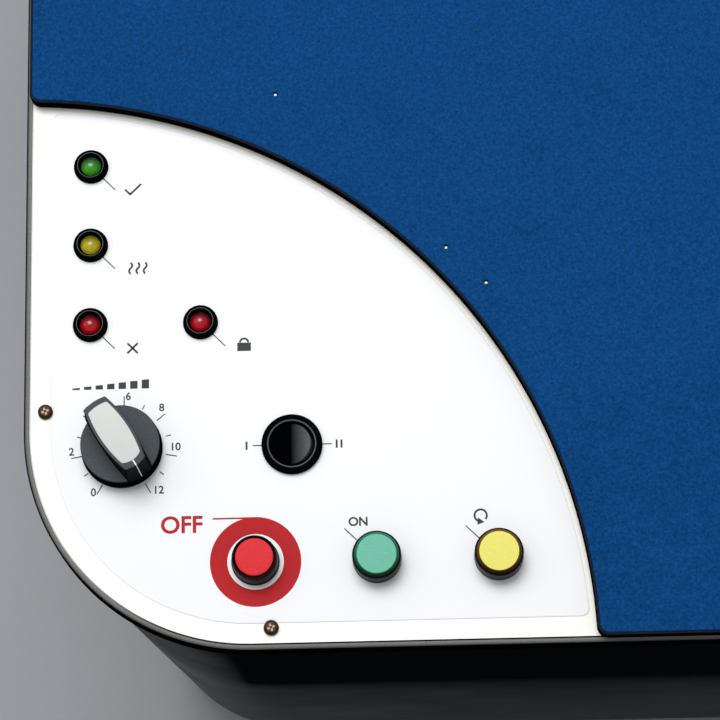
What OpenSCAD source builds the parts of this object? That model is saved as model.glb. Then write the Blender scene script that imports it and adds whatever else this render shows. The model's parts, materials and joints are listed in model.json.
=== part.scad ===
// Bench-top induction centrifugal casting machine.
// Millimetres, +Z up, the front faces -Y. The origin is on the floor, under the middle of the top rim.
// The rotor points along +X at rest, with its crucible over the lowered induction coil.

/* [Housing] */
// Width over the top rim
body_w = 600; // [580:1:660]
// Depth over the top rim
body_d = 620; // [600:1:680]
// Height of the ledge that carries the deck plate, above the floor
deck_z = 370; // [364:1:430]
// Wall of the housing
wall = 3; // [2:0.5:4]
// Lean of the walls, inwards towards the floor, in degrees
taper = 3.5; // [1:0.5:4.5]
// Radius of the upright corners, over the rim
corner_r = 86; // [80:1:92]
// Width of the ledge inside the top edge
ledge_w = 14; // [12:1:18]
// Width of the top rim, seen from above
rim_w = 1.7; // [1.2:0.1:3]
// Height of the top rim
rim_h = 9; // [6:0.5:14]
// Thickness of the deck plate
plate_t = 2; // [1.5:0.5:3]
// Thickness of the base plate
base_t = 3; // [2:0.5:5]
// Height of the rubber feet
foot_h = 22; // [15:1:35]
// Diameter of the rubber feet
foot_d = 44; // [30:1:60]
// Width of the removable rear panel
rear_w = 340; // [320:1:380]
// Height of the removable rear panel
rear_h = 150; // [142:1:156]

/* [Control panel] */
// Radius of the lid's edge round the control panel
arc_r = 218.5; // [214:0.5:224]
// How far the arc's centre lies outside the plate's left edge
arc_dx = 6; // [2:0.5:8]
// How far the arc's centre lies outside the plate's front edge
arc_dy = 4; // [2:0.5:8]
// Margin of bare plate round the printed overlay
overlay_in = 8.6; // [6:0.1:10]
// Thickness of the printed overlay
overlay_t = 0.25; // [0.2:0.05:0.5]
// Distance of the lamp column from the plate's left edge
lamp_x = 23.6; // [20:0.1:28]
// Distance of the lowest lamp from the plate's front edge
lamp_y = 125.5; // [120:0.1:130]
// Pitch of the lamp column
lamp_pitch = 31.9; // [26:0.1:34]
// Distance of the lid lamp from the lamp column
lid_lamp_dx = 42.2; // [36:0.1:50]
// Diameter of the lamp bezels
lamp_d = 13.4; // [12:0.1:15]
// Height of the lamp bezels
lamp_h = 3.2; // [2.5:0.1:5]
// Distance of the first push-button from the plate's left edge
button_x = 86; // [80:0.1:90]
// Distance of the push-buttons from the plate's front edge
button_y = 31.9; // [28:0.1:36]
// Pitch of the push-buttons
button_pitch = 45.45; // [40:0.05:48]
// Diameter of the push-button collars
collar_d = 18.2; // [17.6:0.1:20]
// Travel of the push-buttons
button_travel = 2.5; // [1.5:0.1:2.8]
// Distance of the rocker switch from the plate's left edge
rocker_x = 100.2; // [94:0.1:106]
// Distance of the rocker switch and the knob from the plate's front edge
rocker_y = 76.6; // [70:0.1:82]
// Diameter of the rocker switch's bezel
rocker_d = 23; // [22:0.1:26]
// Tilt of the rocker switch to either side, in degrees
rocker_tilt = 7; // [4:0.5:8]
// Distance of the knob from the plate's left edge
knob_x = 35.9; // [32:0.1:40]
// Diameter of the knob's skirt
knob_d = 31; // [28:0.5:36]
// Height of the knob's skirt
skirt_h = 8.5; // [7:0.5:10]
// Height of the knob over its grip
knob_h = 20; // [16:0.5:26]
// Width of the knob's grip at its middle
grip_w = 12; // [10:0.5:14]

/* [Lid] */
// Thickness of the lid's skin
skin_t = 2; // [1.5:0.1:3]
// Width of the rubber edge trim
trim_w = 3.4; // [2.8:0.1:3.8]
// Radius of the lid's two corners at the panel
lid_tip_r = 4.3; // [4:0.1:8]
// Radius of the lid's two rear corners
lid_back_r = 12; // [6:1:16]
// Depth of the fixed strip of deck behind the lid
strip_d = 35; // [33:1:37]
// Distance of each hinge from the housing's side
hinge_in = 130; // [112:1:180]
// Diameter of the hinge pins
hinge_pin_d = 6; // [5:0.5:7]
// Diameter of the clear view through the lid's window
window_d = 88; // [70:1:96]
// Thickness of the window glass
glass_t = 6; // [4:0.5:8]

/* [Casting chamber] */
// Distance of the chamber's axis from the housing's right side
chamber_side = 254; // [248:1:260]
// Distance of the chamber's axis from the housing's rear
chamber_rear = 280; // [276:1:286]
// Inside radius of the chamber
chamber_r = 206; // [202:1:210]
// Depth of the chamber below the deck's top face
chamber_depth = 172; // [164:1:180]
// Sheet thickness of the chamber
chamber_t = 2; // [1.5:0.5:2.5]
// Width of the chamber's flange on the deck
flange_w = 18; // [16:1:20]
// Radius of the bend between floor and wall
chamber_bend = 14; // [8:1:24]

/* [Rotor] */
// Distance of the crucible from the spindle
crucible_x = 85; // [83:0.5:88]
// Outside radius of the crucible
crucible_r = 17; // [15:0.5:18]
// Wall of the crucible
crucible_wall = 4; // [3:0.5:5]
// Depth of the crucible below the carriage's seat
crucible_drop = 60; // [52:1:62]
// Clear width between the two rails of the arm
rail_gap = 84; // [82:1:88]
// Width of a rail
rail_w = 12; // [10:1:12]
// Height of a rail
rail_h = 18; // [16:1:22]
// Gap between the arm's flask end and the chamber wall
arm_gap = 18; // [16:1:22]
// Gap between the arm's balance end and the chamber wall
arm_back_gap = 36; // [26:1:46]
// Height of the arm above the chamber floor
arm_rise = 44; // [42:1:48]
// Diameter of the largest casting flask
flask_d = 80; // [70:1:80]
// Length of the counterweight
weight_l = 50; // [40:1:56]
// Distance of the counterweight's middle from the spindle
weight_x = 110; // [104:1:116]
// Travel of the crucible carriage towards the flask
carriage_travel = 9; // [5:0.5:10]

/* [Induction coil] */
// Turns of the coil
coil_turns = 6; // [4:1:6]
// Diameter of the coil's copper tube
coil_tube = 5; // [4:0.5:5]
// Inside radius of the coil
coil_r = 21; // [20.5:0.5:22]
// Pitch of the turns
coil_pitch = 7.5; // [6.5:0.1:7.6]
// Stroke of the coil lift
lift_stroke = 54; // [50:1:55]
// Inside radius of the well that the coil sinks into
well_r = 38; // [37.5:0.5:40]

/* [Drive] */
// Diameter of the drive motor
motor_d = 100; // [80:1:110]
// Length of the drive motor
motor_l = 160; // [130:1:180]
// Gap between the motor and the chamber's wall
motor_gap = 12; // [8:1:20]
// Height of the drive plate above the base plate
post_h = 69; // [66:1:72]
// Thickness of the drive plate
drive_t = 8; // [6:1:9]
// Radius of the spindle's pulley
pulley_r = 34; // [30:1:36]
// Speed of the motor over the speed of the rotor
belt_ratio = 1.5; // [1.2:0.1:1.8]
// Width of the belt
belt_w = 14; // [10:1:16]
// Diameter of the spindle
spindle_d = 25; // [20:1:26]

/* [Power supply] */
// Width of the generator
generator_w = 190; // [150:5:200]
// Depth of the generator
generator_d = 130; // [100:5:140]
// Height of the generator over its fins
generator_h = 105; // [80:5:110]
// Diameter of a capacitor
capacitor_d = 50; // [40:1:52]
// Height of a capacitor
capacitor_h = 90; // [60:5:110]
// Outside size of the fan's frame
fan_w = 120; // [92:1:120]
// Depth of the fan's frame
fan_t = 25; // [20:1:38]

/* [Hidden] */
$fn = 96;

// Fits: sliding faces, running shafts, pieces pressed together, and how far a cut runs past a face
slide_gap = 0.3;
run_gap = 0.05;
seat_gap = 0.02;
cut = 1;

// Levels, from the floor up
base_z = foot_h + base_t;
deck_top = deck_z + plate_t;
panel_top = deck_top + overlay_t;
floor_z = deck_top - chamber_depth;
chamber_x = body_w / 2 - chamber_side;
chamber_y = body_d / 2 - chamber_rear;
arm_out = chamber_r - arm_gap;
arm_in = chamber_r - arm_back_gap;
arm_z = floor_z + arm_rise;
arm_top = arm_z + rail_h;

// The deck plate's edges, and the centres of the housing's corners
plate_gap = 0.25;
plate_x = -body_w / 2 + rim_w;
plate_y = -body_d / 2 + rim_w;
plate_r = corner_r - rim_w;
corner_x = body_w / 2 - corner_r;
corner_y = body_d / 2 - corner_r;

// Centre of the arc between panel and lid
arc_x = plate_x - arc_dx;
arc_y = plate_y - arc_dy;

// Points on a circular arc from one angle to another, in steps
function arc_points(x, y, r, from, to, steps = 6) =
    [for (i = [0:steps]) [x + r * cos(from + (to - from) * i / steps), y + r * sin(from + (to - from) * i / steps)]];

// A closed outline without its repeated points
function no_doubles(points) =
    [for (i = [0:len(points) - 1]) if (norm(points[i] - points[(i + 1) % len(points)]) > 0.001) points[i]];

// Radius of a housing corner at a height, with the walls leaning in below the deck
function wall_r(z, inset) = plate_r - inset - (deck_z - z) * tan(taper);

// Place of the rear wall's outer face at a height
function rear_y(z) = body_d / 2 - rim_w - (deck_z - z) * tan(taper);

// A rounded rectangle about the origin
module round_rect(w, d, r) {
    square([w - 2 * r, d], center = true);
    square([w, d - 2 * r], center = true);
    for (x = [-1, 1], y = [-1, 1])
        translate([x * (w / 2 - r), y * (d / 2 - r)]) circle(r);
}

// The housing's solid between two heights, with leaning walls and conical corners
module leaning_block(inset, z0, z1) {
    r0 = wall_r(z0, inset);
    r1 = wall_r(z1, inset);
    for (x = [-1, 1], y = [-1, 1])
        translate([x * corner_x, y * corner_y, z0]) cylinder(h = z1 - z0, r1 = r0, r2 = r1);
    translate([-corner_x, 0, 0]) rotate([90, 0, 90]) linear_extrude(2 * corner_x)
        polygon([[-corner_y - r0, z0], [corner_y + r0, z0], [corner_y + r1, z1], [-corner_y - r1, z1]]);
    translate([0, corner_y, 0]) rotate([90, 0, 0]) linear_extrude(2 * corner_y)
        polygon([[-corner_x - r0, z0], [corner_x + r0, z0], [corner_x + r1, z1], [-corner_x - r1, z1]]);
}

// A profile of [inwards, up] points along one straight edge: from a point, along a direction, inwards on its left
module edge_run(x, y, angle, length, profile) {
    translate([x, y, 0]) rotate([0, 0, angle]) rotate([90, 0, 90]) linear_extrude(length) polygon(profile);
}

// The same profile round a corner that bulges outwards
module edge_corner(x, y, r, from, to, profile) {
    translate([x, y, 0]) rotate([0, 0, from]) rotate_extrude(angle = to - from)
        polygon([for (p = profile) [r - p[0], p[1]]]);
}

// Places on the control panel, on the rear wall, and at the rotor's axis
module on_panel(x, y) {
    translate([plate_x + x, plate_y + y, deck_top]) children();
}
module on_rear(x, z) {
    translate([x, rear_y(z), z]) rotate([-taper, 0, 0]) children();
}
module at_spindle() {
    translate([chamber_x, chamber_y, 0]) children();
}
module at_crucible() {
    translate([chamber_x + crucible_x, chamber_y, 0]) children();
}

// Housing

slot_w = 6;
slot_l = 90;
slot_pitch = 16;
slot_count = 8;
slot_x = -150;
slot_y = 150;

module base_plate() {
    r = wall_r(base_z, 0);
    color("dimgray") difference() {
        translate([0, 0, foot_h]) linear_extrude(base_t)
            round_rect(2 * (corner_x + r), 2 * (corner_y + r), r);
        for (i = [0:slot_count - 1])
            translate([slot_x + i * slot_pitch, slot_y, foot_h - cut]) linear_extrude(base_t + 2 * cut) {
                square([slot_w, slot_l - slot_w], center = true);
                for (s = [-1, 1]) translate([0, s * (slot_l - slot_w) / 2]) circle(slot_w / 2);
            }
    }
}

foot_flare = 3;
foot_screw_d = 5;

module rubber_feet() {
    r = foot_d / 2;
    color("black") for (x = [-1, 1], y = [-1, 1])
        translate([x * corner_x, y * corner_y, 0]) rotate_extrude()
            polygon(concat(
                [[0, 0]],
                arc_points(r - foot_flare, foot_flare, foot_flare, -90, 0),
                [[r - foot_flare, foot_h], [0, foot_h]]));
}

rear_z = base_z + 10 + rear_h / 2;
rear_lap = 10;
rear_t = 2;

module body_shell() {
    color([0.06, 0.07, 0.09]) difference() {
        leaning_block(0, base_z, deck_z);
        leaning_block(wall, base_z - cut, deck_z - wall);
        translate([0, 0, deck_z - wall - cut]) linear_extrude(wall + 2 * cut)
            round_rect(body_w - 2 * (rim_w + wall + ledge_w), body_d - 2 * (rim_w + wall + ledge_w),
                corner_r - rim_w - wall - ledge_w);
        translate([0, body_d / 4, rear_z])
            cube([rear_w - 2 * rear_lap, body_d, rear_h - 2 * rear_lap], center = true);
        for (s = [-1, 1], t = [-1, 1]) screw_spot(s, t) cylinder(d = screw_d + 2 * slide_gap, h = 4 * wall, center = true);
    }
}

rim_rise = 0.2;
rim_round = 1.1;

module top_rim() {
    top = deck_top + rim_rise;
    profile = concat(
        [[rim_w, top - rim_h]],
        arc_points(rim_round, top - rim_h + rim_round, rim_round, 270, 180),
        arc_points(rim_round, top - rim_round, rim_round, 180, 90),
        [[rim_w, top]]);
    w = body_w / 2;
    d = body_d / 2;
    color([0.2, 0.21, 0.22]) {
        edge_run(-corner_x, -d, 0, 2 * corner_x, profile);
        edge_run(w, -corner_y, 90, 2 * corner_y, profile);
        edge_run(corner_x, d, 180, 2 * corner_x, profile);
        edge_run(-w, corner_y, 270, 2 * corner_y, profile);
        edge_corner(corner_x, corner_y, corner_r, 0, 90, profile);
        edge_corner(-corner_x, corner_y, corner_r, 90, 180, profile);
        edge_corner(-corner_x, -corner_y, corner_r, 180, 270, profile);
        edge_corner(corner_x, -corner_y, corner_r, 270, 360, profile);
    }
}

// Deck plate and its screws

screw_in = 6.7;
screw_run = 91.6;
screw_d = 3;
screw_head_d = 5.7;
screw_head_h = 2;
screw_l = 8;
lamp_barrel_d = 8;
collar_barrel_d = 15.8;
rocker_barrel_d = 19.8;
bush_d = 9;
bolt_hole_gap = 2;

// Both screws of one corner: a pair of mirror signs gives the corner
module screw_spot(s, t) {
    w = body_w / 2 - rim_w;
    d = body_d / 2 - rim_w;
    translate([s * (w - screw_in), t * (d - screw_run), deck_top]) children();
    translate([s * (w - screw_run), t * (d - screw_in), deck_top]) children();
}

module lamp_spots() {
    for (i = [0:2]) on_panel(lamp_x, lamp_y + i * lamp_pitch) children();
    on_panel(lamp_x + lid_lamp_dx, lamp_y) children();
}

module button_spot(i) {
    on_panel(button_x + i * button_pitch, button_y) children();
}

// Everything that passes through the panel, grown by a gap and with a given height about the deck
module panel_holes(gap, h) {
    lamp_spots() cylinder(d = lamp_barrel_d + gap, h = h, center = true);
    for (i = [0:2]) button_spot(i) cylinder(d = collar_barrel_d + gap, h = h, center = true);
    on_panel(rocker_x, rocker_y) cylinder(d = rocker_barrel_d + gap, h = h, center = true);
    on_panel(knob_x, rocker_y) cylinder(d = bush_d + gap, h = h, center = true);
}

module deck_plate() {
    color([0.93, 0.91, 0.84]) difference() {
        translate([0, 0, deck_z]) linear_extrude(plate_t)
            round_rect(body_w - 2 * (rim_w + plate_gap), body_d - 2 * (rim_w + plate_gap), plate_r - plate_gap);
        at_spindle() translate([0, 0, deck_z - cut])
            cylinder(r = chamber_r + chamber_t + slide_gap, h = plate_t + 2 * cut);
        panel_holes(2 * slide_gap, 4 * plate_t);
        for (s = [-1, 1], t = [-1, 1]) screw_spot(s, t) cylinder(d = screw_d + slide_gap, h = 4 * plate_t, center = true);
        translate([lock_x, lock_y, deck_z])
            cube([striker_t + 2 * bolt_hole_gap, striker_w + 2 * bolt_hole_gap, 4 * plate_t], center = true);
    }
}

overlay_lap = 2;
overlay_tip_r = 3;

// The overlay's two outer corners lie where a small circle touches an edge and the arc from inside
module panel_overlay() {
    r = arc_r - overlay_lap;
    rc = plate_r - overlay_in;
    t = overlay_tip_r;
    left = -corner_x - rc;
    front = -corner_y - rc;
    a = [left + t, arc_y + sqrt((r - t) ^ 2 - (left + t - arc_x) ^ 2)];
    b = [arc_x + sqrt((r - t) ^ 2 - (front + t - arc_y) ^ 2), front + t];
    a_turn = atan2(a[1] - arc_y, a[0] - arc_x);
    b_turn = atan2(b[1] - arc_y, b[0] - arc_x);
    color("white") difference() {
        translate([0, 0, deck_top]) linear_extrude(overlay_t) polygon(no_doubles(concat(
            arc_points(arc_x, arc_y, r, b_turn, a_turn, 64),
            arc_points(a[0], a[1], t, a_turn, 180, 8),
            arc_points(-corner_x, -corner_y, rc, 180, 270, 24),
            arc_points(b[0], b[1], t, 270, 360 + b_turn, 8))));
        panel_holes(2 * slide_gap, 4 * plate_t);
        screw_spot(-1, -1) cylinder(d = screw_head_d + 2 * slide_gap, h = 4 * plate_t, center = true);
    }
}

cross_w = 0.9;
cross_l = 3;
cross_depth = 1.2;
head_round = 1.2;

module deck_screws() {
    r = screw_head_d / 2;
    color([0.45, 0.38, 0.28]) for (s = [-1, 1], t = [-1, 1]) screw_spot(s, t) difference() {
        union() {
            rotate_extrude() polygon(concat(
                [[0, 0], [r, 0]],
                arc_points(r - head_round, screw_head_h - head_round, head_round, 0, 90),
                [[0, screw_head_h]]));
            translate([0, 0, -screw_l]) cylinder(d = screw_d, h = screw_l + cut / 2);
        }
        for (a = [0, 90]) rotate([0, 0, a + 20]) translate([0, 0, screw_head_h])
            cube([cross_l, cross_w, 2 * cross_depth], center = true);
    }
}

// Signal lamps

lamp_barrel_l = 16;
lamp_lip_d = 10.6;
lamp_well_d = 8.4;
lens_d = 7.7;
lens_base = 0.9;
lens_rise = 2.4;
lamp_nut_d = 12;
lamp_nut_h = 3;

module lamp_bezels() {
    r = lamp_d / 2;
    lip = lamp_lip_d / 2;
    well = lamp_well_d / 2;
    base = overlay_t;
    color([0.05, 0.05, 0.055]) lamp_spots() rotate_extrude() polygon(concat(
        [[0, lens_base], [0, -lamp_barrel_l], [lamp_barrel_d / 2, -lamp_barrel_l],
         [lamp_barrel_d / 2, -plate_t - lamp_nut_h], [lamp_nut_d / 2, -plate_t - lamp_nut_h],
         [lamp_nut_d / 2, -plate_t], [lamp_barrel_d / 2, -plate_t], [lamp_barrel_d / 2, base], [r, base]],
        [for (p = arc_points(0, 0, 1, 20, 90)) [lip + (r - lip) * p[0], base + lamp_h * p[1]]],
        [[well, lens_base + 0.2], [well, lens_base]]));
}

// A domed lens on the floor of its bezel
module lens() {
    r = lens_d / 2;
    ball = (r ^ 2 + lens_rise ^ 2) / (2 * lens_rise);
    half = asin(r / ball);
    translate([0, 0, lens_base]) rotate_extrude()
        polygon(concat([[0, 0]], arc_points(0, lens_rise - ball, ball, 90 - half, 90, 10)));
}

module lamp_lens_green() {
    color([0.2, 0.62, 0.12]) on_panel(lamp_x, lamp_y + 2 * lamp_pitch) lens();
}

module lamp_lens_yellow() {
    color([0.75, 0.72, 0.1]) on_panel(lamp_x, lamp_y + lamp_pitch) lens();
}

module lamp_lenses_red() {
    color([0.75, 0.05, 0.07]) for (dx = [0, lid_lamp_dx]) on_panel(lamp_x + dx, lamp_y) lens();
}

// Push-buttons

collar_h = 5.5;
stop_collar_h = 9;
collar_round = 1.2;
cap_d = 16;
stop_cap_d = 15;
cap_h = 10.4;
stop_cap_h = 10;
cap_foot = 3;
cap_round = 1.6;
stop_cap_round = 0.6;
stem_d = 6;
stem_l = 18;
barrel_l = 26;
button_nut_d = 21;
button_nut_h = 4;

// Collar, barrel and ring nut of one button
module collar(h, bore) {
    r = collar_d / 2;
    base = overlay_t;
    rotate_extrude() polygon(concat(
        [[stem_d / 2 + run_gap, 0], [stem_d / 2 + run_gap, -barrel_l], [collar_barrel_d / 2, -barrel_l],
         [collar_barrel_d / 2, -plate_t - button_nut_h], [button_nut_d / 2, -plate_t - button_nut_h],
         [button_nut_d / 2, -plate_t], [collar_barrel_d / 2, -plate_t], [collar_barrel_d / 2, base], [r, base]],
        arc_points(r - collar_round, base + h - collar_round, collar_round, 0, 75),
        [[bore, base + h], [bore, 0]]));
}

module button_collars() {
    color([0.07, 0.07, 0.08]) {
        button_spot(0) collar(stop_collar_h, stop_cap_d / 2 + slide_gap);
        for (i = [1, 2]) button_spot(i) collar(collar_h, cap_d / 2 + slide_gap);
    }
}

// Cap and stem of one button
module cap(d, h, round) {
    r = d / 2;
    rotate_extrude() polygon(concat(
        [[0, -stem_l], [stem_d / 2, -stem_l], [stem_d / 2, cap_foot], [r, cap_foot]],
        arc_points(r - round, overlay_t + h - round, round, 0, 90),
        [[0, overlay_t + h]]));
}

module stop_cap() {
    color([0.82, 0.1, 0.13]) button_spot(0) cap(stop_cap_d, stop_cap_h, stop_cap_round);
}

module start_cap() {
    color([0.35, 0.72, 0.58]) button_spot(1) cap(cap_d, cap_h, cap_round);
}

module casting_cap() {
    color([0.9, 0.85, 0.25]) button_spot(2) cap(cap_d, cap_h, cap_round);
}

// Rocker switch

rocker_rim_h = 2.6;
rocker_round = 1.3;
rocker_bore = 8.6;
rocker_chamfer = 0.75;
rocker_r = 7.4;
rocker_h = 3.2;
rocker_body_h = 8;
rocker_dish = 34;
rocker_barrel_l = 24;
rocker_cup = 16;
trunnion_d = 3;
trunnion_l = 19;
trunnion_z = -3;

module rocker_bezel() {
    r = rocker_d / 2;
    base = overlay_t;
    color([0.05, 0.05, 0.055]) on_panel(rocker_x, rocker_y) difference() {
        rotate_extrude() polygon(concat(
            [[0, -rocker_cup], [0, -rocker_barrel_l], [rocker_barrel_d / 2, -rocker_barrel_l],
             [rocker_barrel_d / 2, base], [r, base]],
            arc_points(r - rocker_round, base + rocker_rim_h - rocker_round, rocker_round, 0, 90),
            [[rocker_bore + rocker_chamfer, base + rocker_rim_h],
             [rocker_bore, base + rocker_rim_h - rocker_chamfer], [rocker_bore, -rocker_cup]]));
        translate([0, 0, trunnion_z]) rotate([90, 0, 0])
            cylinder(d = trunnion_d + 2 * run_gap, h = trunnion_l + 2 * slide_gap, center = true);
    }
}

module rocker_actuator() {
    color([0.04, 0.04, 0.045]) on_panel(rocker_x, rocker_y) translate([0, 0, trunnion_z])
        rotate([0, -rocker_tilt, 0]) {
            difference() {
                translate([0, 0, -rocker_body_h / 2])
                    cylinder(r = rocker_r, h = rocker_body_h / 2 + rocker_h - trunnion_z);
                translate([0, 0, rocker_h - trunnion_z - 1 + rocker_dish]) rotate([90, 0, 0])
                    cylinder(r = rocker_dish, h = 4 * rocker_r, center = true);
            }
            rotate([90, 0, 0]) cylinder(d = trunnion_d, h = trunnion_l, center = true);
        }
}

// Power knob and its potentiometer

pot_d = 24;
pot_h = 14;
bush_rise = 4;
shaft_d = 6;
shaft_l = 12;
knob_lift = 0.6;
skirt_draft = 0.5;
skirt_round = 0.8;
knob_hollow_d = 20;
knob_hollow_h = 6;
grip_end_w = 9.8;
grip_overhang = 0.6;
nose_top = 12.3;
inlay_border = 1.2;
inlay_far = 2.2;
inlay_near = 2.8;
inlay_t = 1;
knob_turn = -60;

// The grip along +X: two shallow arcs for its sides, a round far end and a round near end
module grip_sides(inset, far, near, h) {
    end = knob_d / 2 + grip_overhang;
    sag = (grip_w - grip_end_w) / 2;
    bow = (end ^ 2 + sag ^ 2) / (2 * sag);
    intersection() {
        translate([0, bow - grip_w / 2, 0]) cylinder(r = bow - inset, h = h, $fn = 480);
        translate([0, -bow + grip_w / 2, 0]) cylinder(r = bow - inset, h = h, $fn = 480);
        cylinder(r = end - far, h = h, $fn = 180);
        translate([near - 2 * knob_d, 0, 0]) cylinder(r = 2 * knob_d, h = h, $fn = 480);
    }
}

module at_knob() {
    on_panel(knob_x, rocker_y) translate([0, 0, overlay_t]) rotate([0, 0, knob_turn]) children();
}

module power_knob() {
    r = knob_d / 2;
    nose_run = r - nose_top;
    nose_rise = knob_h - skirt_h;
    color([0.17, 0.18, 0.19]) at_knob() difference() {
        union() {
            translate([0, 0, knob_lift]) rotate_extrude() polygon(concat(
                [[shaft_d / 2, 0], [r, 0]],
                arc_points(r - skirt_draft - skirt_round, skirt_h - knob_lift - skirt_round, skirt_round, 0, 90),
                [[shaft_d / 2, skirt_h - knob_lift]]));
            intersection() {
                translate([0, 0, skirt_h - cut]) grip_sides(0, 0, r, knob_h - skirt_h + cut);
                translate([0, knob_d / 2, skirt_h - cut]) rotate([90, 0, 0]) linear_extrude(knob_d) polygon([
                    [-knob_d, 0], [r - skirt_draft, 0], [r - skirt_draft, cut],
                    [r - nose_run, nose_rise + cut], [-knob_d, nose_rise + cut]]);
            }
            translate([0, 0, -shaft_l]) cylinder(d = shaft_d, h = shaft_l + skirt_h);
        }
        difference() {
            cylinder(d = knob_hollow_d, h = knob_hollow_h);
            cylinder(d = shaft_d, h = knob_hollow_h);
        }
        translate([0, 0, knob_h - inlay_t]) grip_sides(inlay_border, inlay_far, nose_top - inlay_near, inlay_t + cut);
    }
}

module knob_inlay() {
    color([0.83, 0.84, 0.83]) at_knob() translate([0, 0, knob_h - inlay_t])
        grip_sides(inlay_border + seat_gap, inlay_far + seat_gap, nose_top - inlay_near - seat_gap, inlay_t);
}

module potentiometer() {
    color("silver") on_panel(knob_x, rocker_y) difference() {
        union() {
            translate([0, 0, -plate_t - pot_h]) cylinder(d = pot_d, h = pot_h);
            translate([0, 0, -plate_t - cut]) cylinder(d = bush_d, h = plate_t + bush_rise + cut);
        }
        translate([0, 0, overlay_t - shaft_l - cut]) cylinder(d = shaft_d + 2 * run_gap, h = shaft_l + bush_rise + 2 * cut);
    }
}

// Control board behind the panel

board_w = 108;
board_d = 72;
board_t = 1.6;
board_x = 58;
board_y = 44;
board_drop = 46;
spacer_d = 6;
spacer_in = 7;
chip_h = 8;

module control_board() {
    low = -plate_t - board_drop;
    color("darkgreen") on_panel(board_x, board_y) {
        translate([0, 0, low]) cube([board_w, board_d, board_t]);
        translate([board_w / 3, board_d / 4, low + board_t]) cube([board_w / 3, board_d / 3, chip_h]);
        for (x = [spacer_in, board_w - spacer_in], y = [spacer_in, board_d - spacer_in])
            translate([x, y, low + board_t]) cylinder(d = spacer_d, h = board_drop - board_t);
    }
}

// Lid

lid_gap = 0.4;
trim_seat = 4.4;
trim_under = 0.4;
trim_rise = skin_t - trim_under;
trim_lip = 1;
trim_round = 0.4;
trim_z = deck_top + lid_gap;
skin_z = trim_z + trim_seat;
skin_top = skin_z + skin_t;
hinge_gap = 9;
hinge_y = body_d / 2 - rim_w - strip_d + hinge_gap;
hinge_z = deck_top + 8;
hinge_x = body_w / 2 - hinge_in;
lid_left = plate_x;
lid_right = -plate_x;
lid_front = plate_y;
lid_back = hinge_y - hinge_gap;
tip_a = [lid_left + lid_tip_r, arc_y + sqrt((arc_r + lid_tip_r) ^ 2 - (lid_left + lid_tip_r - arc_x) ^ 2)];
tip_b = [arc_x + sqrt((arc_r + lid_tip_r) ^ 2 - (lid_front + lid_tip_r - arc_y) ^ 2), lid_front + lid_tip_r];
tip_a_turn = atan2(arc_y - tip_a[1], arc_x - tip_a[0]) + 360;
tip_b_turn = atan2(arc_y - tip_b[1], arc_x - tip_b[0]) + 360;
tip_c = [-corner_x - sqrt((plate_r - lid_back_r) ^ 2 - (lid_back - lid_back_r - corner_y) ^ 2), lid_back - lid_back_r];
tip_c_turn = atan2(tip_c[1] - corner_y, tip_c[0] + corner_x);

// The lid's outline, drawn in by an inset: the plate up to the rear strip, without the panel's quarter disc
module lid_region(inset) {
    r = plate_r - inset;
    tip = lid_tip_r - inset;
    back = lid_back_r - inset;
    polygon(no_doubles(concat(
        arc_points(arc_x, arc_y, arc_r + inset, tip_a_turn - 180, tip_b_turn - 180, 64),
        arc_points(tip_b[0], tip_b[1], tip, tip_b_turn, 270, 10),
        arc_points(corner_x, -corner_y, r, 270, 360, 24),
        arc_points(corner_x, corner_y, r, 0, 180 - tip_c_turn, 12),
        arc_points(-tip_c[0], tip_c[1], back, 180 - tip_c_turn, 90, 10),
        arc_points(tip_c[0], tip_c[1], back, 90, tip_c_turn, 10),
        arc_points(-corner_x, corner_y, r, tip_c_turn, 180, 12),
        arc_points(tip_a[0], tip_a[1], tip, 180, tip_a_turn, 10))));
}

pin_hole_d = 1.5;
// The three pin holes in the skin, as distances from the plate's left and front edges
pin_hole_x = [95.7, 160.3, 175.2];
pin_hole_y = [215.2, 151.4, 137];

module lid_skin() {
    color([0.05, 0.25, 0.5]) difference() {
        translate([0, 0, skin_z]) linear_extrude(skin_t) lid_region(trim_lip + seat_gap);
        at_crucible() translate([0, 0, skin_z - cut]) cylinder(d = window_d + 2 * window_wall + 2 * slide_gap, h = skin_t + 2 * cut);
        for (i = [0:2]) on_panel(pin_hole_x[i], pin_hole_y[i]) cylinder(d = pin_hole_d, h = 4 * skin_t + trim_seat);
    }
}

// Rubber edge: a broad band under the skin's edge, and a lip beside it that is narrower at its top
module lid_trim() {
    top = trim_z + trim_seat + trim_rise;
    color([0.04, 0.045, 0.05]) {
        trim_band(0, trim_w, trim_z, skin_z);
        trim_band(0, trim_lip, skin_z, top - trim_round);
        trim_band(trim_round, trim_lip, top - trim_round, top);
    }
}

module trim_band(from, to, z0, z1) {
    difference() {
        translate([0, 0, z0]) linear_extrude(z1 - z0) lid_region(from);
        translate([0, 0, z0 - cut]) linear_extrude(z1 - z0 + 2 * cut) lid_region(to);
    }
}

liner_gap = 14;
liner_flange = 8;
liner_t = 1.5;
liner_drop = 16;
liner_r = chamber_r - liner_gap;
liner_z = deck_top - liner_drop;

// Splash shield under the skin, a shallow pan that hangs into the chamber
module lid_liner() {
    color("silver") difference() {
        at_spindle() rotate_extrude() polygon([
            [0, liner_z], [liner_r, liner_z], [liner_r, skin_z - liner_t], [liner_r + liner_flange, skin_z - liner_t],
            [liner_r + liner_flange, skin_z], [liner_r - liner_t, skin_z], [liner_r - liner_t, liner_z + liner_t],
            [0, liner_z + liner_t]]);
        at_crucible() translate([0, 0, liner_z - cut]) cylinder(d = window_d + 2 * window_wall + 2 * slide_gap, h = 4 * cut);
    }
}

seal_w = 6;

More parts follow.
